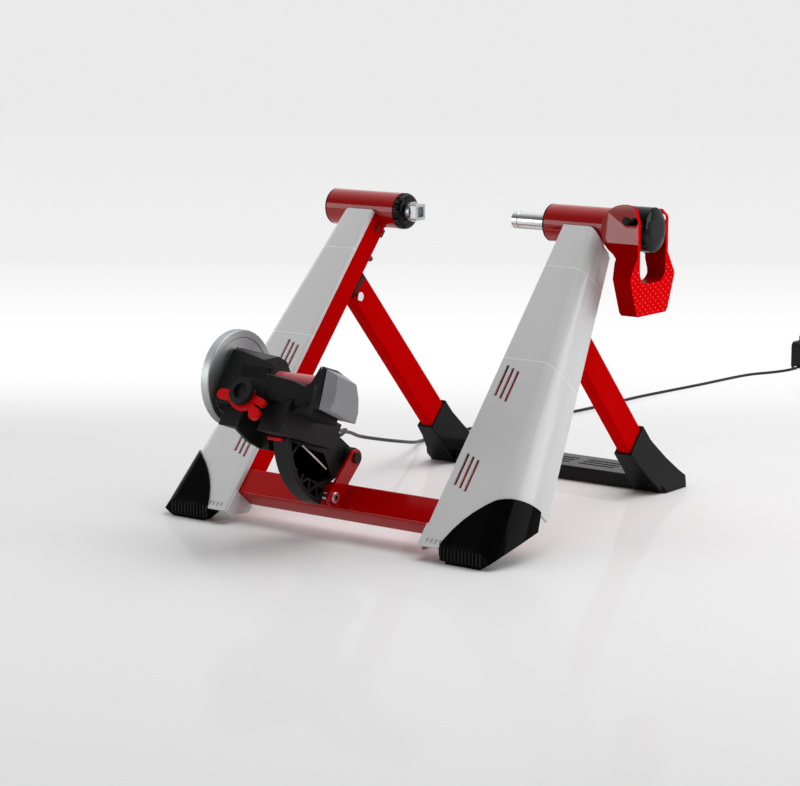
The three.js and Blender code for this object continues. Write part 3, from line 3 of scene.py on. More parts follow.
import bmesh
import bpy
from mathutils import Euler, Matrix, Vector


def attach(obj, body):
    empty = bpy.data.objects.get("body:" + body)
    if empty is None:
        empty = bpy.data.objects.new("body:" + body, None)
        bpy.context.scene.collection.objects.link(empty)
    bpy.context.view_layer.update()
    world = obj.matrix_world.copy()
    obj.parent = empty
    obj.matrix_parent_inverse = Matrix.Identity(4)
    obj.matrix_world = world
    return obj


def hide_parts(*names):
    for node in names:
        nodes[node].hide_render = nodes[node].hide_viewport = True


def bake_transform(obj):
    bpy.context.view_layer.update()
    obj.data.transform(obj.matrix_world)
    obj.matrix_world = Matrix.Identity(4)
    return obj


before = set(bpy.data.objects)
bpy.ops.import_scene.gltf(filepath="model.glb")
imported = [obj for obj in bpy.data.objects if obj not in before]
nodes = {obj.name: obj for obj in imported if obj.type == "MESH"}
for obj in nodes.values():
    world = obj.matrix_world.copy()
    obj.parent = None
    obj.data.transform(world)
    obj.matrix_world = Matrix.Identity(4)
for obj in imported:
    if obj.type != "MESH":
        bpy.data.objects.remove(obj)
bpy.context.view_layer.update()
scene = bpy.context.scene

# The camera stands behind the trainer and to its right, a little above the axle, and looks down
# ten degrees, as the photograph does. Its lens is long, so the lines hardly converge.
camera_data = bpy.data.cameras.new("camera")
camera_data.sensor_width = 36.0
camera_data.lens = 111.97
camera_data.clip_start = 0.1
camera_data.clip_end = 60.0
camera = bpy.data.objects.new("camera", camera_data)
camera.location = (1.9418, -2.6248, 0.7323)
camera.rotation_euler = Euler((radians(80.0335), 0.0, radians(37.178)), "XYZ")
scene.collection.objects.link(camera)
scene.camera = camera


# Shader maths for every finish: a socket that adds, multiplies and compares by adding Math nodes, and a
# sheet that makes any other node from its type, its settings and its inputs.
class Link:
    def __init__(self, sheet, socket):
        self.sheet, self.socket = sheet, socket

    def maths(self, operation, *values):
        return self.sheet.node("Math", {"operation": operation}, *values)

    def __add__(self, other): return self.maths("ADD", self, other)
    def __radd__(self, other): return self.maths("ADD", other, self)
    def __sub__(self, other): return self.maths("SUBTRACT", self, other)
    def __rsub__(self, other): return self.maths("SUBTRACT", other, self)
    def __mul__(self, other): return self.maths("MULTIPLY", self, other)
    def __rmul__(self, other): return self.maths("MULTIPLY", other, self)
    def __truediv__(self, other): return self.maths("DIVIDE", self, other)
    def __pow__(self, other): return self.maths("POWER", self, other)
    def above(self, level): return self.maths("GREATER_THAN", self, level)
    def below(self, level): return self.maths("LESS_THAN", self, level)
    def sine(self): return self.maths("SINE", self)
    def wrap(self, width): return self.maths("PINGPONG", self, width)
    def most(self, other): return self.maths("MAXIMUM", self, other)
    def far(self): return self.maths("ABSOLUTE", self)
    def whole(self): return self.maths("FLOOR", self)
    def part(self): return self.maths("FRACT", self)


class Sheet:
    def __init__(self, name):
        self.material = bpy.data.materials.new(name)
        self.material.use_nodes = True
        self.tree = self.material.node_tree
        self.shader = self.tree.nodes["Principled BSDF"]

    def node(self, kind, settings=None, *values, out=0, **named):
        made = self.tree.nodes.new("ShaderNode" + kind)
        for key, value in (settings or {}).items():
            if key == "stops":
                ramp = made.color_ramp
                while len(ramp.elements) < len(value):
                    ramp.elements.new(0.5)
                for element, (place, colour) in zip(ramp.elements, value):
                    element.position, element.color = place, (*colour, 1.0)
            else:
                setattr(made, key, value)
        for index, value in enumerate(values):
            self.feed(made.inputs[index], value)
        for key, value in named.items():
            self.feed(made.inputs[key.replace("_", " ")], value)
        return Link(self, made.outputs[out])

    def feed(self, socket, value):
        if isinstance(value, Link):
            self.tree.links.new(value.socket, socket)
        else:
            socket.default_value = value

    def set(self, **named):
        for key, value in named.items():
            name = {"Coat": "Coat Weight", "CoatRoughness": "Coat Roughness", "Colour": "Base Color",
                    "Specular": "Specular IOR Level"}.get(key, key)
            self.feed(self.shader.inputs[name], value)
        return self.material

    def place(self):
        return self.node("TexCoord", None, out=3)

    def axes(self, place):
        return [self.node("SeparateXYZ", None, place, out=i) for i in range(3)]

    def noise(self, place, scale, detail=3.0, rough=0.55):
        return self.node("TexNoise", None, Vector=place, Scale=scale, Detail=detail, Roughness=rough)

    def blend(self, share, first, second):
        made = self.tree.nodes.new("ShaderNodeMix")
        made.data_type = "RGBA"
        self.feed(made.inputs[0], share)
        self.feed(made.inputs[6], first)
        self.feed(made.inputs[7], second)
        return Link(self, made.outputs[2])

    def bump(self, height, strength, distance):
        return self.node("Bump", None, Height=height, Strength=strength, Distance=distance)


# The control cable: black sheathed wire, 5 mm thick. It leaves the gland on the swinging unit, drops
# inside the left legs, and lies on the floor as far as the handlebar shifter, where it ends in a ferrule.
row_shift = 110.6048
axle_back, axle_height = row_shift / 1000, 0.385
roller_back, roller_height = axle_back - 0.387, 0.206
cable_points = [(8, -317.28, 136.08), (8, -312.69, 133.63), (-4, -285, 134), (-52, -234, 120),
                (-100, -154, 100), (-150, -69, 76), (-193, 32, 51), (-223, 118, 31), (-254, 195, 14),
                (-285, 256, 3.4), (-290, 330, 3.4), (-262, 470, 3.4), (-235, 602, 3.4), (-227, 700, 3.4),
                (-223, 786, 3.4), (-213, 870, 3.4), (-203, 949, 3.4), (-186, 1093, 3.4), (-168, 1135, 3.4),
                (-155, 1163, 4.2), (-150, 1182, 5), (-150, 1193.7, 5)]
cable_points = [Vector((x, y + row_shift, z)) / 1000 for x, y, z in cable_points]


def through(points, pieces):
    ends = [2 * points[0] - points[1], *points, 2 * points[-1] - points[-2]]
    route = []
    for i in range(len(points) - 1):
        p0, p1, p2, p3 = ends[i:i + 4]
        t1 = (p1 - p0).length ** 0.5
        t2 = t1 + (p2 - p1).length ** 0.5
        t3 = t2 + (p3 - p2).length ** 0.5
        for k in range(pieces):
            t = t1 + (t2 - t1) * k / pieces
            a1 = p0 * ((t1 - t) / t1) + p1 * (t / t1)
            a2 = p1 * ((t2 - t) / (t2 - t1)) + p2 * ((t - t1) / (t2 - t1))
            a3 = p2 * ((t3 - t) / (t3 - t2)) + p3 * ((t - t2) / (t3 - t2))
            b1 = a1 * ((t2 - t) / t2) + a2 * (t / t2)
            b2 = a2 * ((t3 - t) / (t3 - t1)) + a3 * ((t - t1) / (t3 - t1))
            route.append(b1 * ((t2 - t) / (t2 - t1)) + b2 * ((t - t1) / (t2 - t1)))
    return route + [points[-1]]


def add(name, mesh):
    piece = bpy.data.objects.new(name, mesh)
    scene.collection.objects.link(piece)
    return piece


def tube(name, route, radius, sides):
    curve = bpy.data.curves.new(name, "CURVE")
    curve.dimensions = "3D"
    curve.bevel_depth = radius
    curve.bevel_resolution = sides // 4
    curve.use_fill_caps = True
    line = curve.splines.new("POLY")
    line.points.add(len(route) - 1)
    for point, place in zip(line.points, route):
        point.co = (*place, 1.0)
    line.use_smooth = True
    drawn = add(name + "_line", curve)
    mesh = bpy.data.meshes.new_from_object(drawn.evaluated_get(bpy.context.evaluated_depsgraph_get()))
    bpy.data.objects.remove(drawn)
    bpy.data.curves.remove(curve)
    mesh.name = name
    for face in mesh.polygons:
        face.use_smooth = True
    return add(name, mesh)


sheath = Sheet("cable_sheath")
place = sheath.place()
dust = sheath.noise(place, 90.0)
sheath.set(Specular=0.25, Colour=sheath.blend(dust, (0.012, 0.012, 0.013, 1), (0.024, 0.024, 0.026, 1)),
           Roughness=0.38 + 0.14 * dust, Normal=sheath.bump(sheath.noise(place, 1400.0), 0.12, 0.0002))
cable_route = through(cable_points, 9)
cable_length = sum((b - a).length for a, b in zip(cable_route, cable_route[1:]))
cable = tube("cable", cable_route, 0.0025, 16)
cable.data.materials.append(sheath.material)
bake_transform(cable)
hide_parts("control_cable")

# The studio: a white floor with a faint shine that runs out of sight, with painted light behind the trainer,
# a broad light above it, a card on each side, and a room that is bright at its far end and dark at the near.
studio_floor = bmesh.new()
bmesh.ops.create_grid(studio_floor, x_segments=1, y_segments=1, size=40.0)
floor_mesh = bpy.data.meshes.new("floor")
studio_floor.to_mesh(floor_mesh)
studio_floor.free()
floor = add("floor", floor_mesh)
white_floor = Sheet("white_floor")
place = white_floor.place()
across, along, _ = white_floor.axes(place)
white_floor.set(Colour=(0.84, 0.84, 0.845, 1), Roughness=0.05, IOR=1.045)
behind = along * 0.8 - across * 0.6
painted_light_sweep = white_floor.node("ValToRGB", {"stops": [(0.0, (0.80, 0.80, 0.805)), (0.10, (1.0, 1.0, 1.0)),
                                               (0.20, (1.0, 1.0, 1.0)), (0.34, (0.87, 0.87, 0.87)),
                                               (1.0, (0.82, 0.82, 0.82))]}, behind * 0.12)
glow = white_floor.node("Emission", None, painted_light_sweep, 1.0)
seen = white_floor.node("LightPath", None, out=0).most(white_floor.node("LightPath", None, out=3))
# Painted light: behind the trainer, camera and glossy rays see the floor as a glow, brightest in a band, in
# place of a lit floor.
far_share = white_floor.node("MapRange", {"interpolation_type": "SMOOTHSTEP"}, behind, 0.45, 1.1, 0.0, 1.0)
lit = Link(white_floor, white_floor.shader.outputs[0])
mixed = white_floor.node("MixShader", None, far_share * seen, lit, glow)
white_floor.feed(white_floor.tree.nodes["Material Output"].inputs["Surface"], mixed)
floor.data.materials.append(white_floor.material)

world = bpy.data.worlds.new("room")
scene.world = world
world.use_nodes = True
room = world.node_tree
room_place = room.nodes.new("ShaderNodeTexCoord")
room_turn = room.nodes.new("ShaderNodeVectorMath")
room_turn.operation = "DOT_PRODUCT"
room_turn.inputs[1].default_value = (-0.42, 0.88, 0.12)
room_ramp = room.nodes.new("ShaderNodeValToRGB")
for stop, (stop_place, stop_shade) in zip(room_ramp.color_ramp.elements, [(0.42, 0.16), (0.78, 1.0)]):
    stop.position = stop_place
    stop.color = (stop_shade, stop_shade, stop_shade, 1.0)
room_scale = room.nodes.new("ShaderNodeMapRange")
room_scale.inputs[1].default_value = -1.0
room_scale.inputs[2].default_value = 1.0
room.links.new(room_place.outputs["Generated"], room_turn.inputs[0])
room.links.new(room_turn.outputs["Value"], room_scale.inputs[0])
room.links.new(room_scale.outputs[0], room_ramp.inputs[0])
room.links.new(room_ramp.outputs[0], room.nodes["Background"].inputs["Color"])
room.nodes["Background"].inputs["Strength"].default_value = 1.0


def softbox(name, place, target, width, height, watts):
    data = bpy.data.lights.new(name, "AREA")
    data.shape = "RECTANGLE"
    data.size, data.size_y, data.energy = width, height, watts
    lamp = bpy.data.objects.new(name, data)
    lamp.location = place
    lamp.rotation_euler = (Vector(target) - Vector(place)).to_track_quat("-Z", "Y").to_euler()
    scene.collection.objects.link(lamp)
    return lamp


softbox("over_light", (0.5, 0.7, 2.4), (0.1, 0.2, 0.1), 2.2, 2.2, 30)
softbox("lever_side_card", (2.2, 0.9, 0.9), (0.2, 0.1, 0.25), 1.2, 1.4, 14)
softbox("flywheel_side_card", (-1.25, -1.75, 0.62), (0.1, 0.1, 0.3), 1.3, 0.9, 9)
scene.view_settings.view_transform = "Standard"


# Steel frame: two rectangular legs, a tube between them near the floor and a round head on each, welded
# and dipped in a deep red gloss. Welded edges are softly rounded and the paint has a faint orange peel.
def edged(name, source, body, radius, material, segments=2, angle=32, merge=True):
    shell = bmesh.new()
    shell.from_mesh(nodes[source].data)
    bmesh.ops.remove_doubles(shell, verts=shell.verts, dist=2e-6)
    if merge:
        bmesh.ops.dissolve_limit(shell, angle_limit=radians(0.6), verts=shell.verts, edges=shell.edges)
    for face in shell.faces:
        face.smooth = True
    mesh = bpy.data.meshes.new(name)
    shell.to_mesh(mesh)
    shell.free()
    piece = add(name, mesh)
    if radius:
        bevel = piece.modifiers.new("edge", "BEVEL")
        bevel.width = radius
        bevel.segments = segments
        bevel.limit_method = "ANGLE"
        bevel.angle_limit = radians(angle)
        bevel.use_clamp_overlap = True
        bevel.miter_outer = "MITER_ARC"
        weigh = piece.modifiers.new("weigh", "WEIGHTED_NORMAL")
        weigh.weight = 90
    finished = bpy.data.meshes.new_from_object(piece.evaluated_get(bpy.context.evaluated_depsgraph_get()))
    finished.name = name
    piece.modifiers.clear()
    piece.data = finished
    bpy.data.meshes.remove(mesh)
    finished.materials.clear()
    finished.materials.append(material)
    if not radius:
        smooth(piece, angle)
    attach(piece, body)
    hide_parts(source)
    return piece


def smooth(piece, angle=32):
    work = bmesh.new()
    work.from_mesh(piece.data)
    for face in work.faces:
        face.smooth = True
    for edge in work.edges:
        edge.smooth = not edge.is_manifold or edge.calc_face_angle(0.0) < radians(angle)
    work.to_mesh(piece.data)
    work.free()


def red_gloss(name, deep, bright, coat, specular, bend=1.5):
    paint = Sheet(name)
    place = paint.place()
    mist = paint.noise(place, 7.0)
    fleck = paint.noise(place, 900.0, 2.0)
    return paint.set(Colour=paint.blend(mist, (*deep, 1), (*bright, 1)), Roughness=0.24 + 0.10 * mist,
                     Specular=specular, Coat=coat * (0.9 + 0.1 * fleck), CoatRoughness=0.05, IOR=bend,
                     Normal=paint.bump(paint.noise(place, 320.0, 2.0), 0.05, 0.0003))


# The same red paint gets a lighter base on the legs and a darker one on the cross tube, bracket and heads:
# lit and shaded copies of one paint, painted light.
leg_paint = red_gloss("leg_paint", (0.56, 0.0, 0.0003), (0.62, 0.0, 0.0006), 0.0, 0.03, 1.12)
tube_paint = red_gloss("tube_paint", (0.40, 0.0, 0.0004), (0.46, 0.0, 0.0008), 0.5, 0.05, 1.3)
head_paint = red_gloss("head_paint", (0.36, 0.0, 0.0004), (0.42, 0.0, 0.0008), 1.0, 0.05, 1.3)
for source in ("left_leg_tube", "right_leg_tube"):
    edged(source + "_painted", source, "frame", 0.0010, leg_paint)
edged("cross_tube_painted", "cross_tube", "frame", 0.0010, tube_paint)
for source in ("left_head_tube", "right_head_tube"):
    edged(source + "_painted", source, "frame", 0.0005, head_paint)

# Leg covers: white gloss mouldings that clip over the back and outer side of each leg. Each has two
# parting lines and two groups of slots, through which the red leg shows.
lean = radians(40.5)
cover_white = Sheet("cover_white")
place = cover_white.place()
side, back, height = cover_white.axes(place)
down = (axle_back - back) * sin(lean) + (axle_height - height) * cos(lean)
haze = cover_white.noise(place, 11.0)
# The parting lines are grooves in the bump and are painted a lighter white: a painted highlight along each
# seam.
seam_groove_and_highlight = None
for seam_at, seam_edge in ((0.083, 0.203), (0.226, 0.2165)):
    bend = (side.far() - seam_edge).most(0.0)
    gap = (down - seam_at - bend * bend * 10.0).far()
    line = cover_white.node("MapRange", None, gap, 0.0003, 0.0009, 1.0, 0.0)
    seam_groove_and_highlight = line if seam_groove_and_highlight is None else seam_groove_and_highlight.most(line)
face = cover_white.blend(haze, (0.70, 0.70, 0.705, 1), (0.74, 0.74, 0.745, 1))
cover_white.set(Colour=cover_white.blend(seam_groove_and_highlight, face, (0.93, 0.93, 0.93, 1)),
                Roughness=0.26 + 0.08 * haze, Coat=0.35, CoatRoughness=0.05,
                Normal=cover_white.bump(0.05 * cover_white.noise(place, 500.0, 2.0) - seam_groove_and_highlight, 0.5, 0.0004))
for source in ("left_leg_cover", "right_leg_cover"):
    edged(source + "_moulded", source, "frame", 0, cover_white.material, merge=False)

# Front feet: black gloss mouldings on the legs' ends, with an arched top edge. The front tip is cut blunt,
# and a row of ribs on a backing plate covers the grooved heel.
foot_black = Sheet("foot_black")
place = foot_black.place()
scuff = foot_black.noise(place, 60.0)
foot_black.set(Colour=foot_black.blend(scuff, (0.0012, 0.0012, 0.0012, 1), (0.003, 0.003, 0.003, 1)),
               Roughness=0.12 + 0.10 * scuff, Specular=0.05, IOR=1.2, Coat=0.06, CoatRoughness=0.03)


def chamfer(piece, point, outward):
    work = bmesh.new()
    work.from_mesh(piece.data)
    cut = bmesh.ops.bisect_plane(work, geom=[*work.verts, *work.edges, *work.faces], dist=1e-6,
                                 plane_co=point, plane_no=outward, clear_outer=True)
    rim = [part for part in cut["geom_cut"] if isinstance(part, bmesh.types.BMEdge)]
    filled = bmesh.ops.holes_fill(work, edges=rim, sides=0)
    bmesh.ops.recalc_face_normals(work, faces=filled["faces"])
    work.to_mesh(piece.data)
    work.free()
    smooth(piece)


rib_tree = bpy.data.node_groups.new("heel_ribs", "GeometryNodeTree")
for label, kind, way in (("Geometry", "NodeSocketGeometry", "INPUT"), ("Count", "NodeSocketInt", "INPUT"),
                         ("Pitch", "NodeSocketVector", "INPUT"), ("Size", "NodeSocketVector", "INPUT"),
                         ("Material", "NodeSocketMaterial", "INPUT"),
                         ("Result", "NodeSocketGeometry", "OUTPUT")):
    rib_tree.interface.new_socket(label, in_out=way, socket_type=kind)
rib_in, rib_out = rib_tree.nodes.new("NodeGroupInput"), rib_tree.nodes.new("NodeGroupOutput")
rib_line = rib_tree.nodes.new("GeometryNodeMeshLine")
rib_box = rib_tree.nodes.new("GeometryNodeMeshCube")
rib_row = rib_tree.nodes.new("GeometryNodeInstanceOnPoints")
rib_real = rib_tree.nodes.new("GeometryNodeRealizeInstances")
rib_join = rib_tree.nodes.new("GeometryNodeJoinGeometry")
rib_coat = rib_tree.nodes.new("GeometryNodeSetMaterial")
for first, last in ((rib_in.outputs["Count"], rib_line.inputs["Count"]),
                    (rib_in.outputs["Pitch"], rib_line.inputs["Offset"]),
                    (rib_in.outputs["Size"], rib_box.inputs["Size"]),
                    (rib_line.outputs[0], rib_row.inputs["Points"]),
                    (rib_box.outputs[0], rib_row.inputs["Instance"]),
                    (rib_row.outputs[0], rib_real.inputs[0]),
                    (rib_real.outputs[0], rib_join.inputs[0]),
                    (rib_in.outputs["Geometry"], rib_join.inputs[0]),
                    (rib_join.outputs[0], rib_coat.inputs[0]),
                    (rib_in.outputs["Material"], rib_coat.inputs["Material"]),
                    (rib_coat.outputs[0], rib_out.inputs[0])):
    rib_tree.links.new(first, last)

rib_grey = Sheet("rib_grey")
place = rib_grey.place()
speck = rib_grey.noise(place, 80.0)
heel = axle_back - 0.345
rib_depth, rib_middle = 0.0010, 0.0120
first_rib, rib_pitch, rib_count = 0.1907, 0.0054, 12
plate_inner, plate_outer, plate_low, plate_high = 0.1905, 0.2485, 0.0025, 0.0205
# Everything set back past the ribs' front half, chiefly the backing plate in the gaps, is painted near
# black: painted shade between the ribs.
painted_recess_shade = rib_grey.axes(place)[1].above(heel + 0.0015)
rib_face = rib_grey.blend(speck, (0.020, 0.020, 0.020, 1), (0.030, 0.030, 0.030, 1))
rib_grey.set(Colour=rib_grey.blend(painted_recess_shade, rib_face, (0.001, 0.001, 0.001, 1)), Roughness=0.34 + 0.1 * speck,
             Specular=0.1, IOR=1.2)
for source, hand in (("left_front_foot", -1), ("right_front_foot", 1)):
    foot = edged(source + "_moulded", source, "frame", 0.0016, foot_black.material, 3)
    chamfer(foot, (hand * 0.270, -0.1315, 0.057), (hand * 0.724, 1.105, -0.470))
    shell = bmesh.new()
    plate = ((plate_inner, plate_low), (plate_outer, plate_low),
             (plate_outer, plate_high), (plate_inner, plate_high))
    corners = [shell.verts.new((hand * x, heel + y, z)) for x, z in plate for y in (0.0022, 0.0034)]
    for ring in ((0, 2, 4, 6), (7, 5, 3, 1), (0, 1, 3, 2), (2, 3, 5, 4), (4, 5, 7, 6), (6, 7, 1, 0)):
        shell.faces.new([corners[i] for i in ring])
    bmesh.ops.recalc_face_normals(shell, faces=shell.faces)
    web = bpy.data.meshes.new(source + "_ribs")
    shell.to_mesh(web)
    shell.free()
    ribs = add(source + "_ribs", web)
    row = ribs.modifiers.new("row", "NODES")
    row.node_group = rib_tree
    wanted = {"Count": rib_count, "Pitch": (hand * rib_pitch, 0.0, 0.0), "Size": (0.0024, 0.0030, 0.0165),
              "Material": rib_grey.material}
    for item in rib_tree.interface.items_tree:
        if item.name in wanted:
            row[item.identifier] = wanted[item.name]
    start = Vector((hand * first_rib, heel + rib_depth, rib_middle))
    for corner in web.vertices:
        corner.co -= start
    made = bpy.data.meshes.new_from_object(ribs.evaluated_get(bpy.context.evaluated_depsgraph_get()))
    made.name = source + "_ribs"
    ribs.modifiers.clear()
    ribs.data = made
    for corner in made.vertices:
        corner.co += start
    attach(ribs, "frame")

# Leg fittings: a rubber bumper and a moulded clip on the front of each leg, where the folded rear frame
# rests, and a small black screw on the inner side of each cover.
bumper_rubber = Sheet("bumper_rubber")
place = bumper_rubber.place()
grime = bumper_rubber.noise(place, 120.0)
bumper_rubber.set(Colour=bumper_rubber.blend(grime, (0.05, 0.05, 0.052, 1), (0.08, 0.08, 0.082, 1)),
                  Roughness=0.55 + 0.2 * grime, Normal=bumper_rubber.bump(grime, 0.1, 0.0003))


def grained(name, dark, light, rough, grain=1500.0, depth=0.14, coat=0.0, specular=0.2, bend=1.5):
    plastic = Sheet(name)
    place = plastic.place()
    wear = plastic.noise(place, 26.0)
    grit = plastic.noise(place, grain, 2.0)
    return plastic.set(Colour=plastic.blend(wear, (*dark, 1), (*light, 1)), Roughness=rough + 0.12 * wear,
                       Specular=specular, Coat=coat, CoatRoughness=0.06, IOR=bend,
                       Normal=plastic.bump(grit, depth, 0.0002))


fine_black = grained("fine_black", (0.006, 0.006, 0.0063), (0.011, 0.011, 0.0115), 0.40)
for leg in ("left", "right"):
    edged(leg + "_bumper", leg + "_fold_bumper", "frame", 0.0008, bumper_rubber.material)
    edged(leg + "_clip", leg + "_top_clip", "frame", 0.0008, fine_black)
    edged(leg + "_screw", leg + "_cover_screw", "frame", 0.0002, fine_black)

# Left axle clamp: a gloss black end plug and ribbed lock ring on the red tube, a thin alloy flange, and a
# turned alloy cup whose square end holds the axle nut.
deep_gloss = grained("deep_gloss", (0.001, 0.001, 0.001), (0.003, 0.003, 0.003), 0.08, depth=0.03, coat=0.28,
                     bend=1.2)
edged("left_plug", "left_end_plug", "frame", 0.0006, deep_gloss)
edged("lock_ring", "left_lock_ring", "lock_ring", 0.0006, deep_gloss)


def turned(name, dark, light, rough, axis_y, axis_z, pitch=0.0006):
    metal = Sheet(name)
    place = metal.place()
    side, back, height = metal.axes(place)
    reach = ((back - axis_y) ** 2.0 + (height - axis_z) ** 2.0) ** 0.5
    groove = (reach * (2 * pi / pitch) + side * (2 * pi / pitch)).sine()
    haze = metal.noise(place, 40.0)
    return metal.set(Colour=metal.blend(haze, (*dark, 1), (*light, 1)), Metallic=1.0,
                     Roughness=rough + 0.1 * haze, Normal=metal.bump(groove, 0.06, 0.0001))


axle_alloy = turned("axle_alloy", (0.44, 0.45, 0.47), (0.54, 0.55, 0.57), 0.26, axle_back, axle_height)
edged("cup_flange", "left_cup_flange", "frame", 0.0004, axle_alloy)
edged("cup_screw", "left_cup_screw", "axle_cup", 0.0004, axle_alloy)

# Right axle clamp: a bush, a chromed plunger on its spring, the cam block and its pin, and a red lever
# whose pad has rows of small raised dots; the pad's bright red and the dots' pale colour are painted light.
chrome_bright = turned("chrome_bright", (0.72, 0.73, 0.74), (0.80, 0.81, 0.82), 0.05, axle_back, axle_height)
edged("bush", "plunger_bush", "frame", 0.0006, deep_gloss)
edged("plunger", "clamp_plunger", "plunger", 0.0004, chrome_bright)
edged("spring", "plunger_spring", "plunger", 0, axle_alloy, angle=60)
edged("cam", "cam_block", "frame", 0.0010, deep_gloss)
edged("pin", "lever_pin", "frame", 0.0008, fine_black)
lever_red = Sheet("lever_red")
place = lever_red.place()
_, back, height = lever_red.axes(place)
dot_rise, dot_step = 0.0045, 0.0125
row = (axle_height - height) / dot_rise
shift = row.whole().wrap(1.0) * 0.5
off_row = (row.part() - 0.5) * dot_rise
off_dot = ((back / dot_step + shift).part() - 0.5) * dot_step
reach = (off_row * off_row + off_dot * off_dot) ** 0.5
# The dots are raised in the bump, and their pale colour on the pad is a painted highlight.
raised_dots_and_highlights = lever_red.node("MapRange", None, reach, 0.0006, 0.0013, 1.0, 0.0) * height.below(0.338)
mist = lever_red.noise(place, 30.0)
turn = lever_red.axes(lever_red.node("NewGeometry", None, out=1))
# Painted light: the pad, facing the right-hand light, is painted a bright red and the other faces a dark
# red, and a coat only on the back flank above a height puts a painted reflection there.
painted_reflection_flank = turn[1].below(-0.6)
face = turn[0].above(0.7)
lit_and_shaded_red = lever_red.blend(face, (0.36, 0.0, 0.0004, 1), (0.80, 0.0, 0.0012, 1))
lever_red.set(Colour=lever_red.blend(raised_dots_and_highlights * face * 0.42, lit_and_shaded_red, (0.95, 0.30, 0.30, 1)),
              Roughness=0.26 + 0.08 * mist, Specular=0.03, IOR=1.15, Coat=painted_reflection_flank * height.above(0.369) * 0.5,
              CoatRoughness=0.05,
              Normal=lever_red.bump(raised_dots_and_highlights, 0.4, 0.0005))
lever_red.shader.inputs["Coat IOR"].default_value = 2.0
edged("lever", "clamp_lever", "lever", 0.0008, lever_red.material)

# Folding rear frame: oval-edged red legs with moulded caps, chromed hinge bolts, rubbery boots on their
# ends and a slotted cover over the bar between them.
boot_rubber = grained("boot_rubber", (0.002, 0.002, 0.0021), (0.005, 0.005, 0.0053), 0.22, 900.0, 0.06, 0.16,
                      bend=1.2)
bar_black = grained("bar_black", (0.006, 0.006, 0.0063), (0.011, 0.011, 0.0115), 0.28, 1100.0, 0.10, 0.1,
                    bend=1.3)
bare_steel = turned("bare_steel", (0.42, 0.43, 0.44), (0.52, 0.53, 0.54), 0.30, 0.307, 0.009)
for leg in ("left", "right"):
    edged(leg + "_strut", leg + "_rear_leg", "rear_frame", 0.0010, leg_paint)
    edged(leg + "_strut_cap", leg + "_rear_leg_cap", "rear_frame", 0.0010, fine_black)
    edged(leg + "_hinge", leg + "_hinge_bolt", "rear_frame", 0.0004, chrome_bright)
    edged(leg + "_boot", leg + "_rear_foot", "rear_frame", 0.0040, boot_rubber, 3)
edged("bar", "rear_cross_tube", "rear_frame", 0.0010, bare_steel)
edged("bar_cover", "rear_bar_cover", "rear_frame", 0.0010, bar_black)

# Bracket: red plates welded round the cross tube, clamped by a chromed hex bolt; the unit swings on the
# black pin through its top.
edged("bracket", "unit_bracket", "frame", 0.0007, tube_paint)
bolt_corners = [nodes["bracket_bolt"].matrix_world @ v.co for v in nodes["bracket_bolt"].data.vertices]
bolt_back, bolt_up = (sum(v[i] for v in bolt_corners) / len(bolt_corners) for i in (1, 2))
bolt_steel = Sheet("bolt_steel")
place = bolt_steel.place()
_, back, height = bolt_steel.axes(place)
reach = ((back - bolt_back) ** 2.0 + (height - bolt_up) ** 2.0) ** 0.5
polish = bolt_steel.noise(place, 60.0)
bright = bolt_steel.blend(polish, (0.82, 0.82, 0.83, 1), (0.92, 0.92, 0.93, 1))
# The middle of the bolt head is painted near black: painted shade in its hex socket.
bolt_steel.set(Colour=bolt_steel.blend(reach.below(0.0026), bright, (0.03, 0.03, 0.03, 1)), Metallic=1.0,
               Roughness=0.28 + 0.1 * polish)
edged("clamp_bolt", "bracket_bolt", "frame", 0.0008, bolt_steel.material)
edged("unit_pin", "swing_pin", "frame", 0.0005, fine_black)

# Swinging unit: grained black mouldings, with the guard over the roller, the ribbed quadrant arm, the bent
# chromed wire, two straight bright wires in the arm's opening, the red stop, and the left block with its
# bare plate.
unit_black = grained("unit_black", (0.007, 0.007, 0.0073), (0.012, 0.012, 0.0125), 0.42)
edged("body", "unit_body", "unit", 0.0010, unit_black)
edged("arm", "swing_arm", "unit", 0.0005, unit_black)
edged("wire", "wire_link", "unit", 0, chrome_bright, angle=60)
for name, low, high in (("inner_wire", (0.0, -0.3780, 0.1301), (0.0, -0.3305, 0.0916)),
                        ("outer_wire", (0.006, -0.3700, 0.1320), (0.006, -0.3560, 0.1290))):
    run = [Vector((x, y + axle_back, z)) for x, y, z in (low, high)]
    rod = tube(name, run, 0.0013, 12)
    rod.data.materials.append(bolt_steel.material)
    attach(rod, "unit")
red_moulding = grained("red_moulding", (0.66, 0.001, 0.002), (0.74, 0.002, 0.004), 0.30, 700.0, 0.06, 0.1,
                       0.1)
edged("stop", "swing_stop", "unit", 0.0003, red_moulding)
edged("block", "left_side_block", "unit", 0.0008, unit_black)
edged("plate", "label_plate", "unit", 0.0002, bar_black)

# Tension knob and quick-release lever: a ribbed black knob over a red moulded lever on the same axis.
edged("knob", "adjust_knob", "knob", 0.0005, unit_black)
edged("release", "quick_lever", "quick", 0.0006, red_moulding)
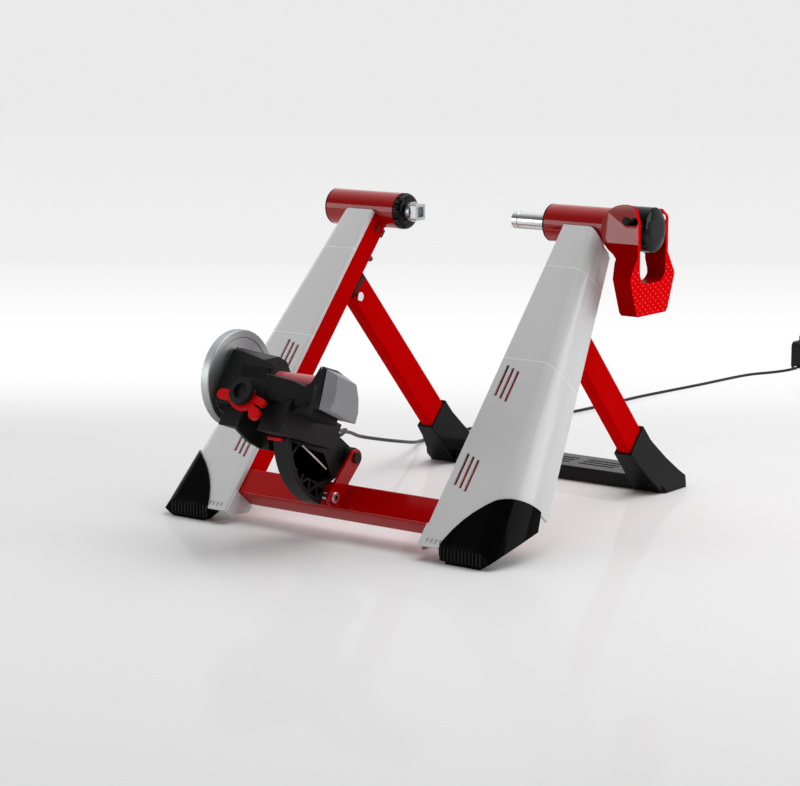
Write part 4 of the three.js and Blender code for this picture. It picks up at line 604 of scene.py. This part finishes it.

# Roller, shaft and flywheel: a poured elastomer roller on a steel shaft between two bearings, and a
# brushed steel flywheel with a painted sheen, light and dark sectors by angle, that turns with it.
roller_skin = grained("roller_skin", (0.52, 0.10, 0.105), (0.60, 0.13, 0.135), 0.32, 500.0, 0.05, 0.2)
edged("roller_tyre", "roller", "rotor", 0.0010, roller_skin)
shaft_steel = turned("shaft_steel", (0.45, 0.46, 0.47), (0.56, 0.57, 0.58), 0.24, roller_back, roller_height)
edged("shaft", "roller_shaft", "rotor", 0.0003, shaft_steel)
wheel_steel = Sheet("wheel_steel")
place = wheel_steel.place()
side, back, height = wheel_steel.axes(place)
turn = wheel_steel.node("Math", {"operation": "ARCTAN2"}, height - roller_height, back - roller_back)
# Painted sheen: the colour runs light and dark round the wheel by angle, mixed with a real brushed grain.
painted_sheen = (turn * 2.0 + 2.6).sine() * 0.5 + 0.5
brushed = wheel_steel.noise(wheel_steel.node("CombineXYZ", None, turn * 40.0, side * 9.0, 0.0), 3.0)
brushing_and_painted_sheen = painted_sheen * 0.75 + brushed * 0.25
wheel_steel.set(Colour=wheel_steel.blend(brushing_and_painted_sheen, (0.20, 0.21, 0.215, 1), (0.66, 0.70, 0.72, 1)),
                Metallic=1.0, Roughness=0.44 + 0.08 * brushed)
edged("wheel", "flywheel", "rotor", 0.0006, wheel_steel.material)
for side in ("left", "right"):
    edged(side + "_race", side + "_bearing", "unit", 0.0003, shaft_steel)

# Magnet brake: a black inner half and a grey faceted outer half round an alloy rotor and the moulded
# carrier of the magnets. The cable enters the unit through a rubber gland.
case_grey = grained("case_grey", (0.27, 0.27, 0.285), (0.33, 0.33, 0.345), 0.36, 1200.0, 0.10)
edged("case_inner", "magnet_case_back", "unit", 0.0008, unit_black)
edged("case_outer", "magnet_case_cover", "unit", 0.0010, case_grey)
edged("rotor_disc", "brake_rotor", "rotor", 0.0003, shaft_steel)
edged("magnets", "magnet_carrier", "carrier", 0.0003, unit_black)
edged("gland", "cable_gland", "unit", 0.0004, boot_rubber)

# Handlebar shifter: a moulded clamp body with a thumb lever, and the crimped ferrule on the cable's end.
# These are the pieces on the cable's end.
ferrule = edged("ferrule", "cable_ferrule", "frame", 0.0003, chrome_bright)
shifter = edged("shifter", "shifter_body", "frame", 0.0010, unit_black)
edged("thumb_lever", "shifter_lever", "shifter", 0.0008, bar_black)
